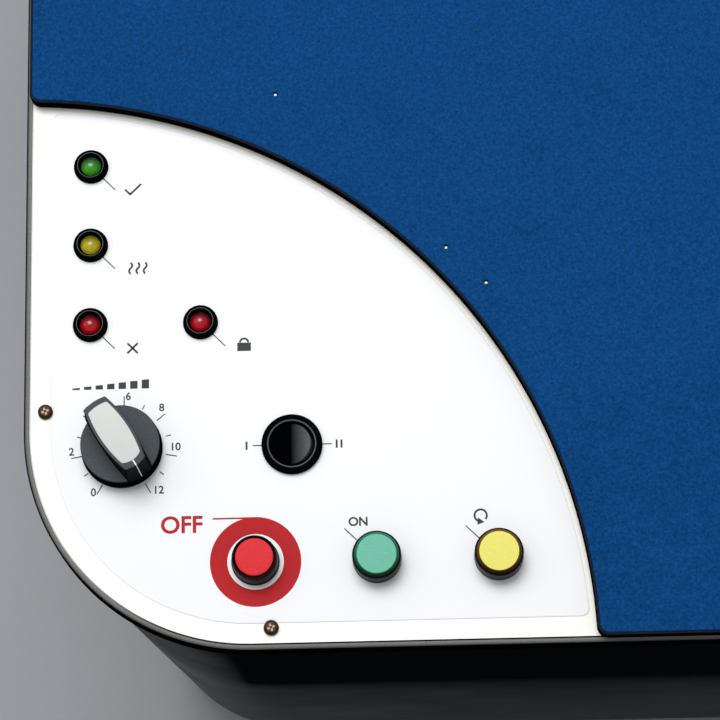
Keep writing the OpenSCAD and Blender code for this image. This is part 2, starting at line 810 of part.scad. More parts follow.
// Soft ring between the skin and the chamber's flange
module chamber_seal() {
    z = deck_top + chamber_t + slide_gap;
    r = chamber_r + flange_w / 2;
    color("black") at_spindle() translate([0, 0, z]) difference() {
        cylinder(r = r + seal_w / 2, h = skin_z - z);
        translate([0, 0, -cut]) cylinder(r = r - seal_w / 2, h = skin_z - z + 2 * cut);
    }
}

window_wall = 3;
window_ledge = 2;
window_flange = 12;
window_rise = 3.5;
window_round = 1.5;

// Turned window frame: a flange on the skin and a tube down to the splash shield
module window_frame() {
    inner = window_d / 2;
    outer = inner + window_wall;
    rim = outer + window_flange;
    seat = skin_top + window_rise - 0.5 - glass_t;
    color([0.08, 0.08, 0.09]) at_crucible() rotate_extrude() polygon(concat(
        [[inner, liner_z], [outer, liner_z], [outer, skin_top], [rim, skin_top]],
        arc_points(rim - window_round, skin_top + window_rise - window_round, window_round, 0, 90),
        [[inner + window_ledge, skin_top + window_rise], [inner + window_ledge, seat], [inner, seat]]));
}

module window_glass() {
    seat = skin_top + window_rise - 0.5 - glass_t;
    color([0.1, 0.16, 0.14, 0.6]) at_crucible() translate([0, 0, seat])
        cylinder(r = window_d / 2 + window_ledge - seat_gap, h = glass_t);
}

// Lid lock: a striker on the lid and a solenoid bolt under the deck

lock_x = body_w / 2 - 120;
striker_t = 4;
striker_w = 18;
striker_drop = 26;
striker_foot = 26;
striker_foot_t = 1.2;
striker_eye_d = 10;
bolt_d = 8;
bolt_travel = 14;
bolt_gap = 4;
bolt_l = 40;
lock_w = 46;
lock_d = 30;
lock_h = 22;
lock_y = plate_y + wall + ledge_w + lock_d / 2 + 2;
bolt_z = skin_z - striker_drop + striker_w / 2 - 1;

module lid_striker() {
    color("silver") translate([lock_x, lock_y, 0]) difference() {
        union() {
            translate([0, 0, skin_z - striker_drop / 2]) cube([striker_t, striker_w, striker_drop], center = true);
            translate([0, 0, skin_z - striker_foot_t / 2]) cube([striker_foot, striker_w, striker_foot_t], center = true);
        }
        translate([0, 0, bolt_z]) rotate([0, 90, 0]) cylinder(d = striker_eye_d, h = 4 * striker_t, center = true);
    }
}

// The lock's case hangs from the deck on two ears
module lid_lock() {
    x = lock_x - striker_t / 2 - bolt_gap - lock_w;
    color([0.25, 0.26, 0.28]) translate([x, lock_y, 0]) difference() {
        union() {
            translate([0, -lock_d / 2, bolt_z - lock_h / 2]) cube([lock_w, lock_d, lock_h]);
            for (s = [0, lock_w - wall]) translate([s, -lock_d / 2, bolt_z]) cube([wall, lock_d, deck_z - bolt_z]);
        }
        translate([-cut, 0, bolt_z]) rotate([0, 90, 0]) cylinder(d = bolt_d + 2 * run_gap, h = lock_w + 2 * cut);
    }
}

module lock_bolt() {
    nose = lock_x - striker_t / 2 - bolt_gap + 1;
    color("gainsboro") translate([nose - bolt_l, lock_y, bolt_z]) rotate([0, 90, 0]) rotate_extrude()
        polygon([[0, 0], [bolt_d / 2, 0], [bolt_d / 2, bolt_l - 2], [bolt_d / 2 - 2, bolt_l], [0, bolt_l]]);
}

// Hinges: two knuckles on the deck, one on the lid, and a pin through all three

knuckle_r = 6;
knuckle_l = 16;
ear_l = 12;
leaf_t = 3;
leaf_reach = 34;
bracket_t = 3;
bracket_d = 26;

module hinge_spots() {
    for (s = [-1, 1]) translate([s * hinge_x, hinge_y, hinge_z]) children();
}

module hinge_brackets() {
    w = knuckle_l + 2 * (ear_l + slide_gap);
    color([0.12, 0.12, 0.13]) hinge_spots() difference() {
        union() {
            for (s = [-1, 1]) translate([s * (knuckle_l / 2 + slide_gap + ear_l / 2), 0, 0]) {
                rotate([0, 90, 0]) cylinder(r = knuckle_r, h = ear_l, center = true);
                translate([-ear_l / 2, -knuckle_r, deck_top - hinge_z]) cube([ear_l, 2 * knuckle_r, hinge_z - deck_top]);
            }
            translate([-w / 2, knuckle_r + slide_gap, deck_top - hinge_z]) cube([w, bracket_d - 2 * knuckle_r, bracket_t]);
            for (s = [-1, 1]) translate([s * (knuckle_l / 2 + slide_gap + ear_l / 2) - ear_l / 2, 0, deck_top - hinge_z])
                cube([ear_l, bracket_d - knuckle_r, bracket_t]);
        }
        rotate([0, 90, 0]) cylinder(d = hinge_pin_d + 2 * seat_gap, h = 2 * w, center = true);
    }
}

module lid_hinge_leaves() {
    color([0.12, 0.12, 0.13]) hinge_spots() difference() {
        union() {
            rotate([0, 90, 0]) cylinder(r = knuckle_r, h = knuckle_l, center = true);
            translate([-knuckle_l / 2, -leaf_reach, skin_top - hinge_z]) cube([knuckle_l, leaf_reach, leaf_t]);
        }
        rotate([0, 90, 0]) cylinder(d = hinge_pin_d + 2 * run_gap, h = 2 * knuckle_l, center = true);
    }
}

module hinge_pins() {
    l = knuckle_l + 2 * (ear_l + slide_gap);
    color("silver") hinge_spots() rotate([0, 90, 0]) cylinder(d = hinge_pin_d, h = l, center = true);
}

// Casting chamber and the well for the coil

hub_hole_r = spindle_d / 2 + 10;
hub_lip_h = 14;

module casting_chamber() {
    r = chamber_r;
    t = chamber_t;
    b = chamber_bend;
    color("silver") at_spindle() difference() {
        rotate_extrude() polygon(concat(
            [[hub_hole_r, floor_z - t]],
            arc_points(r + t - (b + t), floor_z - t + b + t, b + t, 270, 360),
            [[r + t, deck_top], [r + flange_w, deck_top], [r + flange_w, deck_top + t], [r, deck_top + t]],
            arc_points(r - b, floor_z + b, b, 360, 270),
            [[hub_hole_r + t, floor_z], [hub_hole_r + t, floor_z + hub_lip_h], [hub_hole_r, floor_z + hub_lip_h]]));
        translate([crucible_x, 0, floor_z - t - cut]) cylinder(r = well_r, h = t + 2 * cut);
    }
}

well_flange = 4;
well_depth = 76;

module coil_well() {
    t = chamber_t;
    top = floor_z - t;
    color("silver") at_crucible() rotate_extrude() polygon([
        [well_r, top - well_depth], [well_r + t, top - well_depth], [well_r + t, top - t],
        [well_r + t + well_flange, top - t], [well_r + t + well_flange, top], [well_r, top]]);
}

// Spindle, bearings and drive

drive_z = base_z + post_h;
drive_top = drive_z + drive_t;
belt_z = base_z + 46;
pulley_w = belt_w + 6;
pulley_flange = 4;
motor_pulley_r = pulley_r / belt_ratio;
motor_dist = chamber_r + chamber_t + motor_gap + motor_d / 2;
motor_dir = 225;
motor_shaft_d = 14;
motor_shaft_in = 38;
bearing_r = 26;
bearing_w = 15;
housing_r = 34;
housing_foot_r = 58;
housing_foot_t = 10;
housing_head_r = 40;
housing_head_t = 8;
bearing_in = 5;
post_d = 12;
post_off = pulley_r + pulley_flange + post_d / 2 + 4;
plate_margin = 3;

module to_motor() {
    at_spindle() rotate([0, 0, motor_dir]) children();
}

module drive_plate() {
    a = housing_foot_r + plate_margin;
    b = motor_d / 2 + 2 * plate_margin;
    color("slategray") to_motor() {
        difference() {
            translate([0, 0, drive_z]) union() {
                cylinder(r = a, h = drive_t);
                translate([motor_dist, 0, 0]) cylinder(r = b, h = drive_t);
                translate([0, -b + plate_margin, 0]) cube([motor_dist, 2 * (b - plate_margin), drive_t]);
            }
            translate([0, 0, drive_z - cut]) cylinder(d = spindle_d + 10, h = drive_t + 2 * cut);
            translate([motor_dist, 0, drive_z - cut]) cylinder(d = motor_shaft_d + 10, h = drive_t + 2 * cut);
        }
        for (x = [0, motor_dist], s = [-1, 1]) translate([x, s * post_off, base_z]) cylinder(d = post_d, h = post_h);
    }
}

module bearing_housing() {
    z0 = drive_top;
    z1 = floor_z - chamber_t;
    inner = bearing_r - 4;
    color("slategray") at_spindle() rotate_extrude() polygon([
        [bearing_r, z0], [housing_foot_r, z0], [housing_foot_r, z0 + housing_foot_t], [housing_r, z0 + housing_foot_t],
        [housing_r, z1 - housing_head_t], [housing_head_r, z1 - housing_head_t], [housing_head_r, z1], [bearing_r, z1],
        [bearing_r, z1 - bearing_in - bearing_w], [inner, z1 - bearing_in - bearing_w],
        [inner, z0 + bearing_in + bearing_w], [bearing_r, z0 + bearing_in + bearing_w]]);
}

race_t = 4;
shield_in = 1;

module bearing_ring() {
    i = spindle_d / 2 + run_gap;
    o = bearing_r - seat_gap;
    rotate_extrude() polygon([
        [i, 0], [i + race_t, 0], [i + race_t, shield_in], [o - race_t, shield_in], [o - race_t, 0], [o, 0],
        [o, bearing_w], [o - race_t, bearing_w], [o - race_t, bearing_w - shield_in],
        [i + race_t, bearing_w - shield_in], [i + race_t, bearing_w], [i, bearing_w]]);
}

module spindle_bearings() {
    color("silver") at_spindle() {
        translate([0, 0, drive_top + bearing_in]) bearing_ring();
        translate([0, 0, floor_z - chamber_t - bearing_in - bearing_w]) bearing_ring();
    }
}

spindle_head_r = 30;
spindle_head_t = 8;

module spindle() {
    low = belt_z - pulley_w / 2 - 6;
    color("gainsboro") at_spindle() {
        translate([0, 0, low]) cylinder(d = spindle_d, h = arm_z - low);
        translate([0, 0, arm_z - spindle_head_t]) cylinder(r = spindle_head_r, h = spindle_head_t);
    }
}

// Profile of a flanged pulley with a bore
module pulley(r, bore) {
    h = pulley_w / 2;
    b = belt_w / 2 + slide_gap;
    f = r + pulley_flange;
    translate([0, 0, belt_z]) rotate_extrude() polygon([
        [bore, -h], [f, -h], [f, -b - 1], [r, -b], [r, b], [f, b + 1], [f, h], [bore, h]]);
}

module spindle_pulley() {
    color("gray") at_spindle() pulley(pulley_r, spindle_d / 2 + seat_gap);
}

module motor_pulley() {
    low = belt_z - pulley_w / 2 - 4;
    color("gray") to_motor() translate([motor_dist, 0, 0]) {
        pulley(motor_pulley_r, motor_shaft_d / 4);
        translate([0, 0, low]) cylinder(d = motor_shaft_d, h = drive_top + motor_shaft_in - low);
    }
}

belt_t = 3;

// Points of a loop round both pulleys at a distance from their faces
function belt_loop(off) =
    let (a = pulley_r + off, b = motor_pulley_r + off, lean = acos((a - b) / motor_dist))
    concat(arc_points(0, 0, a, lean, 360 - lean, 28), arc_points(motor_dist, 0, b, -lean, lean, 20));

module drive_belt() {
    outside = belt_loop(slide_gap + belt_t);
    inside = belt_loop(slide_gap);
    n = len(outside);
    color([0.1, 0.1, 0.1]) to_motor() translate([0, 0, belt_z - belt_w / 2]) linear_extrude(belt_w)
        polygon(points = concat(outside, inside), paths = [[for (i = [0:n - 1]) i], [for (i = [0:n - 1]) n + i]]);
}

motor_foot_t = 8;
motor_rib_w = 6;
motor_rib_in = 2.5;
motor_ribs = 8;
motor_bell = 14;

module motor() {
    r = motor_d / 2;
    pitch = (motor_l - motor_foot_t - 2 * motor_bell) / motor_ribs;
    color([0.3, 0.33, 0.36]) to_motor() translate([motor_dist, 0, drive_top]) difference() {
        rotate_extrude() polygon(concat(
            [[0, 0], [r + plate_margin, 0], [r + plate_margin, motor_foot_t], [r, motor_foot_t]],
            arc_points(r - motor_bell, motor_l - motor_bell, motor_bell, 0, 90),
            [[0, motor_l]]));
        for (i = [0:motor_ribs - 1]) translate([0, 0, motor_foot_t + motor_bell + (i + 0.5) * pitch - motor_rib_w / 2])
            difference() {
                cylinder(r = r + cut, h = motor_rib_w);
                translate([0, 0, -cut]) cylinder(r = r - motor_rib_in, h = motor_rib_w + 2 * cut);
            }
        translate([0, 0, -cut]) cylinder(d = motor_shaft_d + 2 * run_gap, h = motor_shaft_in + 2 * cut);
    }
}

// Rotor: a ladder arm, the flask's cradle, the sliding crucible and the counterweight

rail_in = rail_gap / 2;
rail_out = rail_in + rail_w;
hub_l = 64;
hub_boss_r = 22;
hub_boss_h = 6;
end_t = 10;
rod_d = 12;
cradle_drop = 14;
cradle_back = 8;
saddle_t = 8;
saddle_x = [crucible_x + 37, arm_out - 28];
tie_w = 8;
flask_z = arm_top + 20;
cradle_top = flask_z;
pour_hole_r = 14;

module rotor_arm() {
    color([0.72, 0.73, 0.74]) at_spindle() translate([0, 0, arm_z]) {
        for (s = [-1, 1]) translate([-arm_in, s * (rail_in + rail_w / 2) - rail_w / 2, 0])
            cube([arm_in + arm_out - cradle_back, rail_w, rail_h]);
        translate([-hub_l / 2, -rail_in, 0]) cube([hub_l, rail_gap, rail_h]);
        translate([0, 0, rail_h]) cylinder(r = hub_boss_r, h = hub_boss_h);
        translate([-arm_in, -rail_in, 0]) cube([end_t, rail_gap, rail_h]);
        translate([-arm_in + end_t / 2, 0, rail_h / 2]) rotate([0, 90, 0])
            cylinder(d = rod_d, h = arm_in - end_t / 2 - hub_l / 4);
    }
}

module flask_cradle() {
    r = flask_d / 2 + slide_gap;
    low = arm_z - cradle_drop;
    color([0.6, 0.61, 0.62]) at_spindle() difference() {
        union() {
            for (x = saddle_x) translate([x, -rail_in, low]) cube([saddle_t, rail_gap, arm_top - low]);
            translate([arm_out - cradle_back, -rail_out, low]) cube([cradle_back, 2 * rail_out, arm_top - low]);
            translate([arm_out - cradle_back, -flask_d / 2, low]) cube([cradle_back, flask_d, flask_z - low]);
            translate([arm_out - cradle_back, 0, flask_z]) rotate([0, 90, 0]) cylinder(d = flask_d, h = cradle_back);
            for (s = [-1, 1]) translate([saddle_x[0], s * (rail_in - tie_w) - (s > 0 ? 0 : tie_w) + (s > 0 ? 0 : tie_w), low])
                mirror([0, s > 0 ? 0 : 1, 0]) cube([arm_out - cradle_back - saddle_x[0], tie_w, tie_w]);
        }
        translate([saddle_x[0] - cut, 0, flask_z]) rotate([0, 90, 0])
            cylinder(r = r, h = arm_out - cradle_back - saddle_x[0] + cut);
        translate([arm_out - 2 * cradle_back, 0, flask_z]) rotate([0, 90, 0]) cylinder(r = pour_hole_r, h = 3 * cradle_back);
    }
}

carriage_t = 5.5;
carriage_back = 36;
carriage_front = 20;
carriage_lip = 4;
carriage_lip_h = 12;
seat_h = 6;
seat_w = 4;

module crucible_carriage() {
    low = arm_top + slide_gap;
    side = rail_out + slide_gap;
    back = crucible_x - carriage_back;
    l = carriage_back + carriage_front;
    color([0.5, 0.51, 0.53]) at_spindle() difference() {
        union() {
            translate([back, -side - carriage_lip, low]) cube([l, 2 * (side + carriage_lip), carriage_t]);
            for (y = [-side - carriage_lip, side])
                translate([back, y, low - carriage_lip_h]) cube([l, carriage_lip, carriage_lip_h + cut]);
            translate([crucible_x, 0, low]) cylinder(r = crucible_r + seat_w, h = carriage_t + seat_h);
        }
        translate([crucible_x, 0, low - cut]) cylinder(r = crucible_r + slide_gap, h = carriage_t + seat_h + 2 * cut);
    }
}

crucible_rim = 3;
crucible_rim_h = 5;
crucible_rise = 18;
crucible_bottom_r = 8;
spout_r = 3.5;

module crucible() {
    seat = arm_top + slide_gap + carriage_t + seat_h;
    r = crucible_r;
    i = crucible_r - crucible_wall;
    b = crucible_bottom_r;
    low = seat - crucible_drop;
    top = seat + crucible_rise;
    color([0.88, 0.85, 0.78]) at_crucible() difference() {
        rotate_extrude() polygon(concat(
            [[0, low]],
            arc_points(r - b, low + b, b, 270, 360),
            [[r, seat], [r + crucible_rim, seat], [r + crucible_rim, seat + crucible_rim_h], [r, seat + crucible_rim_h],
             [r, top], [i, top]],
            arc_points(i - b / 2, low + crucible_wall + b / 2, b / 2, 360, 270),
            [[0, low + crucible_wall]]));
        translate([i / 2, 0, flask_z]) rotate([0, 90, 0]) cylinder(r = spout_r, h = 2 * r);
    }
}

weight_drop = 8;
weight_rise = 12;
weight_shelf = 10;
clamp_d = 24;
clamp_h = 12;
clamp_stem_d = 8;
clamp_stem_l = 12;
clamp_flutes = 12;
flute_d = 3;

module counterweight() {
    low = arm_z - weight_drop;
    shelf = arm_top + slide_gap;
    color([0.35, 0.36, 0.38]) at_spindle() translate([-weight_x, 0, 0]) difference() {
        union() {
            translate([-weight_l / 2, -rail_in + slide_gap, low])
                cube([weight_l, rail_gap - 2 * slide_gap, shelf + weight_rise - low]);
            translate([-weight_l / 2, -rail_in - weight_shelf, shelf])
                cube([weight_l, rail_gap + 2 * weight_shelf, weight_rise]);
        }
        translate([0, 0, arm_z + rail_h / 2]) rotate([0, 90, 0])
            cylinder(d = rod_d + 2 * run_gap, h = 2 * weight_l, center = true);
        translate([0, 0, shelf + weight_rise - clamp_stem_l])
            cylinder(d = clamp_stem_d + 2 * seat_gap, h = clamp_stem_l + cut);
    }
}

module clamp_screw() {
    top = arm_top + slide_gap + weight_rise;
    color([0.1, 0.1, 0.11]) at_spindle() translate([-weight_x, 0, top]) difference() {
        union() {
            cylinder(d = clamp_d, h = clamp_h);
            translate([0, 0, -clamp_stem_l]) cylinder(d = clamp_stem_d, h = clamp_stem_l + cut);
        }
        for (i = [0:clamp_flutes - 1]) rotate([0, 0, i * 360 / clamp_flutes])
            translate([clamp_d / 2, 0, -cut]) cylinder(d = flute_d, h = clamp_h + 2 * cut);
    }
}

// Induction coil, wound from one tube, and its lift

coil_mean = coil_r + coil_tube / 2;
coil_low = floor_z + 1 - coil_tube / 2 - coil_turns * coil_pitch;
coil_high = coil_low + coil_turns * coil_pitch;
leg_r = coil_mean + 1.5 * coil_tube;
leg_bend = 8;
disc_t = 12;
disc_r = well_r - 1.2;
leg_below = 8;
lift_wall = 7;
lift_head = 8;
lift_floor = 4;
piston_t = 6;
piston_r = 14;
lift_rod_d = 12;
lift_h = lift_floor + 1 + piston_t + lift_stroke + 1 + lift_head;
disc_z = base_z + lift_h + 28;
rings_per_turn = 24;
bend_rings = 5;
tube_sides = 8;

// Where the tube runs: up the first leg, round the turns, out to the second leg and down it
coil_path = concat(
    [[coil_mean, -leg_bend, disc_z - leg_below], [coil_mean, -leg_bend, disc_z + disc_t]],
    [for (i = [0:bend_rings - 1]) let (a = 90 * i / bend_rings)
        [coil_mean, -leg_bend * cos(a), coil_low - leg_bend + leg_bend * sin(a)]],
    [for (i = [0:coil_turns * rings_per_turn]) let (a = 360 * i / rings_per_turn)
        [coil_mean * cos(a), coil_mean * sin(a), coil_low + coil_pitch * i / rings_per_turn]],
    [for (i = [1:rings_per_turn / 4]) let (s = i / (rings_per_turn / 4), r = coil_mean + (leg_r - coil_mean) * s * s * (3 - 2 * s))
        [r * cos(90 * s), r * sin(90 * s), coil_high]],
    [for (i = [1:bend_rings]) let (a = 90 * i / bend_rings)
        [-leg_bend * sin(a), leg_r, coil_high - leg_bend * (1 - cos(a))]],
    [[-leg_bend, leg_r, disc_z + disc_t], [-leg_bend, leg_r, disc_z - leg_below]]);

function unit(v) = v / norm(v);
function along(path, i) = unit(path[min(i + 1, len(path) - 1)] - path[max(i - 1, 0)]);
function outward(p) = unit([p[0], p[1], 0]);

// One ring of the tube, square to the path, started from the direction away from the coil's axis
function tube_ring(path, i) =
    let (t = along(path, i), o = outward(path[i]), u = unit(o - (o * t) * t), v = cross(t, u))
    [for (k = [0:tube_sides - 1]) path[i] + coil_tube / 2 * (cos(360 * k / tube_sides) * u + sin(360 * k / tube_sides) * v)];

// The least gap between two stretches of tube that aren't neighbours along it
far_apart = rings_per_turn / 2;
coil_gap = min([for (i = [0:len(coil_path) - 1], j = [0:len(coil_path) - 1])
    if (j > i + far_apart) norm(coil_path[i] - coil_path[j])]) - coil_tube;
echo(least_gap_of_the_coil_to_itself = coil_gap);  // induction_coil

module induction_coil() {
    n = len(coil_path);
    rings = [for (i = [0:n - 1]) each tube_ring(coil_path, i)];
    s = tube_sides;
    sides = [for (i = [0:n - 2], k = [0:s - 1]) let (a = i * s + k, b = i * s + (k + 1) % s)
        each [[a, a + s, b], [b, a + s, b + s]]];
    caps = [for (k = [1:s - 2]) each [[0, k, k + 1], [(n - 1) * s, (n - 1) * s + k + 1, (n - 1) * s + k]]];
    color([0.72, 0.45, 0.2]) at_crucible() polyhedron(points = rings, faces = concat(sides, caps));
}

// Piston, rod and insulating disc that carry the coil
module coil_lift() {
    low = base_z + lift_floor + 1;
    color([0.85, 0.83, 0.75]) at_crucible() difference() {
        union() {
            translate([0, 0, low]) cylinder(r = piston_r, h = piston_t);
            translate([0, 0, low]) cylinder(d = lift_rod_d, h = disc_z - low + cut);
            translate([0, 0, disc_z]) cylinder(r = disc_r, h = disc_t);
        }
        for (p = [coil_path[0], coil_path[len(coil_path) - 1]])
            translate([p[0], p[1], disc_z - cut]) cylinder(d = coil_tube + 4 * seat_gap, h = disc_t + 2 * cut);
    }
}

module lift_cylinder() {
    r = piston_r + lift_wall;
    color("slategray") at_crucible() translate([0, 0, base_z]) rotate_extrude() polygon([
        [0, 0], [r, 0], [r, lift_h], [lift_rod_d / 2 + run_gap, lift_h], [lift_rod_d / 2 + run_gap, lift_h - lift_head],
        [piston_r + run_gap, lift_h - lift_head], [piston_r + run_gap, lift_floor], [0, lift_floor]]);
}

// Power supply

generator_x = chamber_x + 6;
generator_y = -body_d / 2 + 70;
fin_h = 40;
fin_t = 3;
fin_count = 14;

module generator() {
    case_h = generator_h - fin_h;
    pitch = (generator_w - fin_t) / (fin_count - 1);
    color([0.6, 0.62, 0.65]) translate([generator_x, generator_y, base_z]) {
        cube([generator_w, generator_d, case_h]);
        for (i = [0:fin_count - 1]) translate([i * pitch, 0, case_h - cut]) cube([fin_t, generator_d, fin_h + cut]);
    }
}

capacitor_x = body_w / 2 - 100;
capacitor_y = body_d / 2 - 192;
capacitor_pitch = capacitor_d + 6;
terminal_d = 10;
terminal_h = 8;

module capacitors() {
    color([0.25, 0.3, 0.42]) for (i = [0:2]) translate([capacitor_x, capacitor_y + i * capacitor_pitch, base_z]) {
        cylinder(d = capacitor_d, h = capacitor_h);
        for (s = [-1, 1]) translate([s * capacitor_d / 4, 0, capacitor_h - cut]) cylinder(d = terminal_d, h = terminal_h + cut);
    }
}

// Rear panel with its fan, gland and water fittings

fan_x = -90;
fan_bore_d = fan_w - 8;
fan_hub_d = 44;
fan_pin_d = 4;
fan_back_t = 3;
fan_strut_w = 6;
fan_blades = 7;
fan_blade_t = 2;
fan_blade_turn = 38;
fan_run = 2;
louvre_x = 45;
louvre_l = 100;
louvre_w = 5;
louvre_pitch = 11;
louvre_count = 6;
gland_x = 40;
fitting_x = [95, 130];
service_z = rear_z - 34;
gland_d = 20;
fitting_d = 13;

module rear_panel() {
    color([0.12, 0.13, 0.14]) difference() {
        on_rear(0, rear_z) translate([-rear_w / 2, 0, -rear_h / 2]) cube([rear_w, rear_t, rear_h]);
        on_rear(fan_x, rear_z) rotate([90, 0, 0]) cylinder(d = fan_bore_d, h = 8 * rear_t, center = true);
        on_rear(gland_x, service_z) rotate([90, 0, 0]) cylinder(d = gland_d + slide_gap, h = 8 * rear_t, center = true);
        for (x = fitting_x) on_rear(x, service_z) rotate([90, 0, 0])
            cylinder(d = fitting_d + slide_gap, h = 8 * rear_t, center = true);
        for (i = [0:louvre_count - 1]) on_rear(louvre_x + louvre_l / 2, rear_z - 4 + i * louvre_pitch)
            cube([louvre_l, 8 * rear_t, louvre_w], center = true);
    }
}

module fan_frame() {
    w = fan_w;
    color([0.1, 0.1, 0.11]) on_rear(fan_x, rear_z) difference() {
        translate([-w / 2, -fan_t, -w / 2]) cube([w, fan_t, w]);
        difference() {
            translate([0, cut, 0]) rotate([90, 0, 0]) cylinder(d = fan_bore_d, h = fan_t + 2 * cut);
            translate([0, -fan_t + fan_back_t, 0]) rotate([90, 0, 0]) cylinder(d = fan_hub_d, h = fan_back_t + 2 * cut);
            for (a = [0, 90]) rotate([0, a + 45, 0]) translate([0, -fan_t + fan_back_t / 2, 0])
                cube([w, fan_back_t, fan_strut_w], center = true);
        }
        translate([0, -fan_t - cut, 0]) rotate([-90, 0, 0]) cylinder(d = fan_pin_d + 2 * run_gap, h = fan_back_t + 2 * cut);
    }
}

module fan_rotor() {
    r = fan_bore_d / 2 - fan_run;
    l = fan_t - fan_back_t - 2 * fan_run;
    color([0.12, 0.12, 0.13]) on_rear(fan_x, rear_z) {
        translate([0, -fan_run, 0]) rotate([90, 0, 0]) cylinder(d = fan_hub_d - 2, h = l);
        translate([0, -fan_run - l + cut, 0]) rotate([90, 0, 0]) cylinder(d = fan_pin_d, h = fan_run + fan_back_t + cut);
        intersection() {
            translate([0, -fan_run, 0]) rotate([90, 0, 0]) cylinder(r = r, h = l);
            for (i = [0:fan_blades - 1]) rotate([0, i * 360 / fan_blades, 0])
                translate([r / 2, -fan_run - l / 2, 0]) rotate([fan_blade_turn, 0, 0])
                    cube([r, 2 * l, fan_blade_t], center = true);
        }
    }
}

guard_wire = 2.2;
guard_rings = 4;
guard_pitch = 13;

// Wire guard: concentric rings on two crossed bars that lie on the panel
module fan_guard() {
    r = guard_pitch * guard_rings + 8;
    w = guard_wire;
    color("silver") on_rear(fan_x, rear_z) translate([0, rear_t, 0]) rotate([-90, 0, 0]) {
        for (i = [1:guard_rings]) rotate_extrude() translate([i * guard_pitch - w / 2, w / 2]) square(w);
        for (a = [45, 135]) rotate([0, 0, a]) translate([-r, -w / 2, 0]) cube([2 * r, w, w]);
    }
}

gland_out = 12;
gland_in = 10;
gland_flange = 4;
gland_hole_d = 10;

module cable_gland() {
    color([0.1, 0.1, 0.11]) on_rear(gland_x, service_z) rotate([-90, 0, 0]) rotate_extrude() polygon([
        [gland_hole_d / 2, -gland_in], [gland_d / 2, -gland_in], [gland_d / 2, rear_t], [gland_d / 2 + gland_flange, rear_t],
        [gland_d / 2 + gland_flange, rear_t + gland_flange], [gland_d / 2, rear_t + gland_flange],
        [gland_d / 2 - 3, rear_t + gland_out], [gland_hole_d / 2, rear_t + gland_out]]);
}

barb_r = 5;
barb_l = 13;
fitting_bore = 3;
fitting_in = 12;

module water_fittings() {
    r = fitting_d / 2;
    color([0.75, 0.6, 0.3]) for (x = fitting_x) on_rear(x, service_z) rotate([-90, 0, 0]) rotate_extrude() polygon([
        [fitting_bore, -fitting_in], [r, -fitting_in], [r, rear_t], [r + 2, rear_t], [r + 2, rear_t + 4],
        [barb_r - 1, rear_t + 4], [barb_r + 0.6, rear_t + 5], [barb_r - 1, rear_t + 8], [barb_r + 0.6, rear_t + 9],
        [barb_r - 1, rear_t + barb_l], [fitting_bore, rear_t + barb_l]]);
}

base_plate();
rubber_feet();
body_shell();
top_rim();
deck_plate();
panel_overlay();
deck_screws();
lamp_bezels();
lamp_lens_green();
lamp_lens_yellow();
lamp_lenses_red();
button_collars();
rocker_bezel();
potentiometer();
control_board();
hinge_brackets();
lid_lock();
casting_chamber();
coil_well();
drive_plate();
bearing_housing();
spindle_bearings();
motor();
drive_belt();
lift_cylinder();
generator();
capacitors();
rear_panel();
fan_frame();
fan_guard();
cable_gland();
water_fittings();
lid_skin();
lid_trim();
lid_liner();
chamber_seal();
window_glass();
window_frame();
lid_striker();
lid_hinge_leaves();
hinge_pins();
spindle();
spindle_pulley();
rotor_arm();
flask_cradle();
crucible_carriage();
crucible();
counterweight();
clamp_screw();
motor_pulley();
induction_coil();
coil_lift();
power_knob();
knob_inlay();
rocker_actuator();
stop_cap();
start_cap();
casting_cap();
lock_bolt();
fan_rotor();
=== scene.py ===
import json
import math

import bmesh
import bpy
from bpy.props import FloatProperty, FloatVectorProperty, IntProperty, PointerProperty
from mathutils import Matrix, Vector


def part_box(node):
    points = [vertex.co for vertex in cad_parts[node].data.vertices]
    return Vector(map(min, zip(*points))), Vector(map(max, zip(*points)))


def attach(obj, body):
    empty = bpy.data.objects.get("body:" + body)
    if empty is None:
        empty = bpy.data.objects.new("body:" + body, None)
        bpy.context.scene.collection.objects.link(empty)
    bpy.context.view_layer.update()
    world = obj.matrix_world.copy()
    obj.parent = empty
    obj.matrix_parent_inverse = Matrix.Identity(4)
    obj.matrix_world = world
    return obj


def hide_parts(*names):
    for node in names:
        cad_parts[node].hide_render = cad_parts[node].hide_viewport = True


bl_info = {
    "name": "Casting machine looks",
    "version": (1, 0, 0),
    "blender": (4, 5, 0),
    "location": "View3D > Sidebar > Casting machine",
    "description": "Dresses the packed casting machine: finishes, panel print, controls, lid edge and stage",
    "category": "Object",
}

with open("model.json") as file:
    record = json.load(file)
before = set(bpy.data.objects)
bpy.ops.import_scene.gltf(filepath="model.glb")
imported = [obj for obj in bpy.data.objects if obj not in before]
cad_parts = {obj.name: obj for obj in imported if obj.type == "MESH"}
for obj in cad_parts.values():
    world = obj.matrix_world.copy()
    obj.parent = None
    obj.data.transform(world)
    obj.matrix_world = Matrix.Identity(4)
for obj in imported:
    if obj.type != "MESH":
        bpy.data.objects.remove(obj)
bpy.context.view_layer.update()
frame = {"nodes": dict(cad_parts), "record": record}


# Measures. Shapes are drawn in millimetres in the machine's own frame and scaled to metres at the end.

def span(node):
    """Lowest and highest corner of a CAD node, in millimetres."""
    low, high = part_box(node)
    return low * 1000, high * 1000


def middle(node):
    """Middle of a CAD node's box, in millimetres."""
    low, high = span(node)
    return (low + high) / 2


PLATE_TOP = span("deck_plate")[1].z
RIM_LOW, RIM_HIGH = span("top_rim")
PLATE_EDGE = 1.7
LEFT = RIM_LOW.x + PLATE_EDGE
FRONT = RIM_LOW.y + PLATE_EDGE
PANEL_Z = span("panel_overlay")[1].z

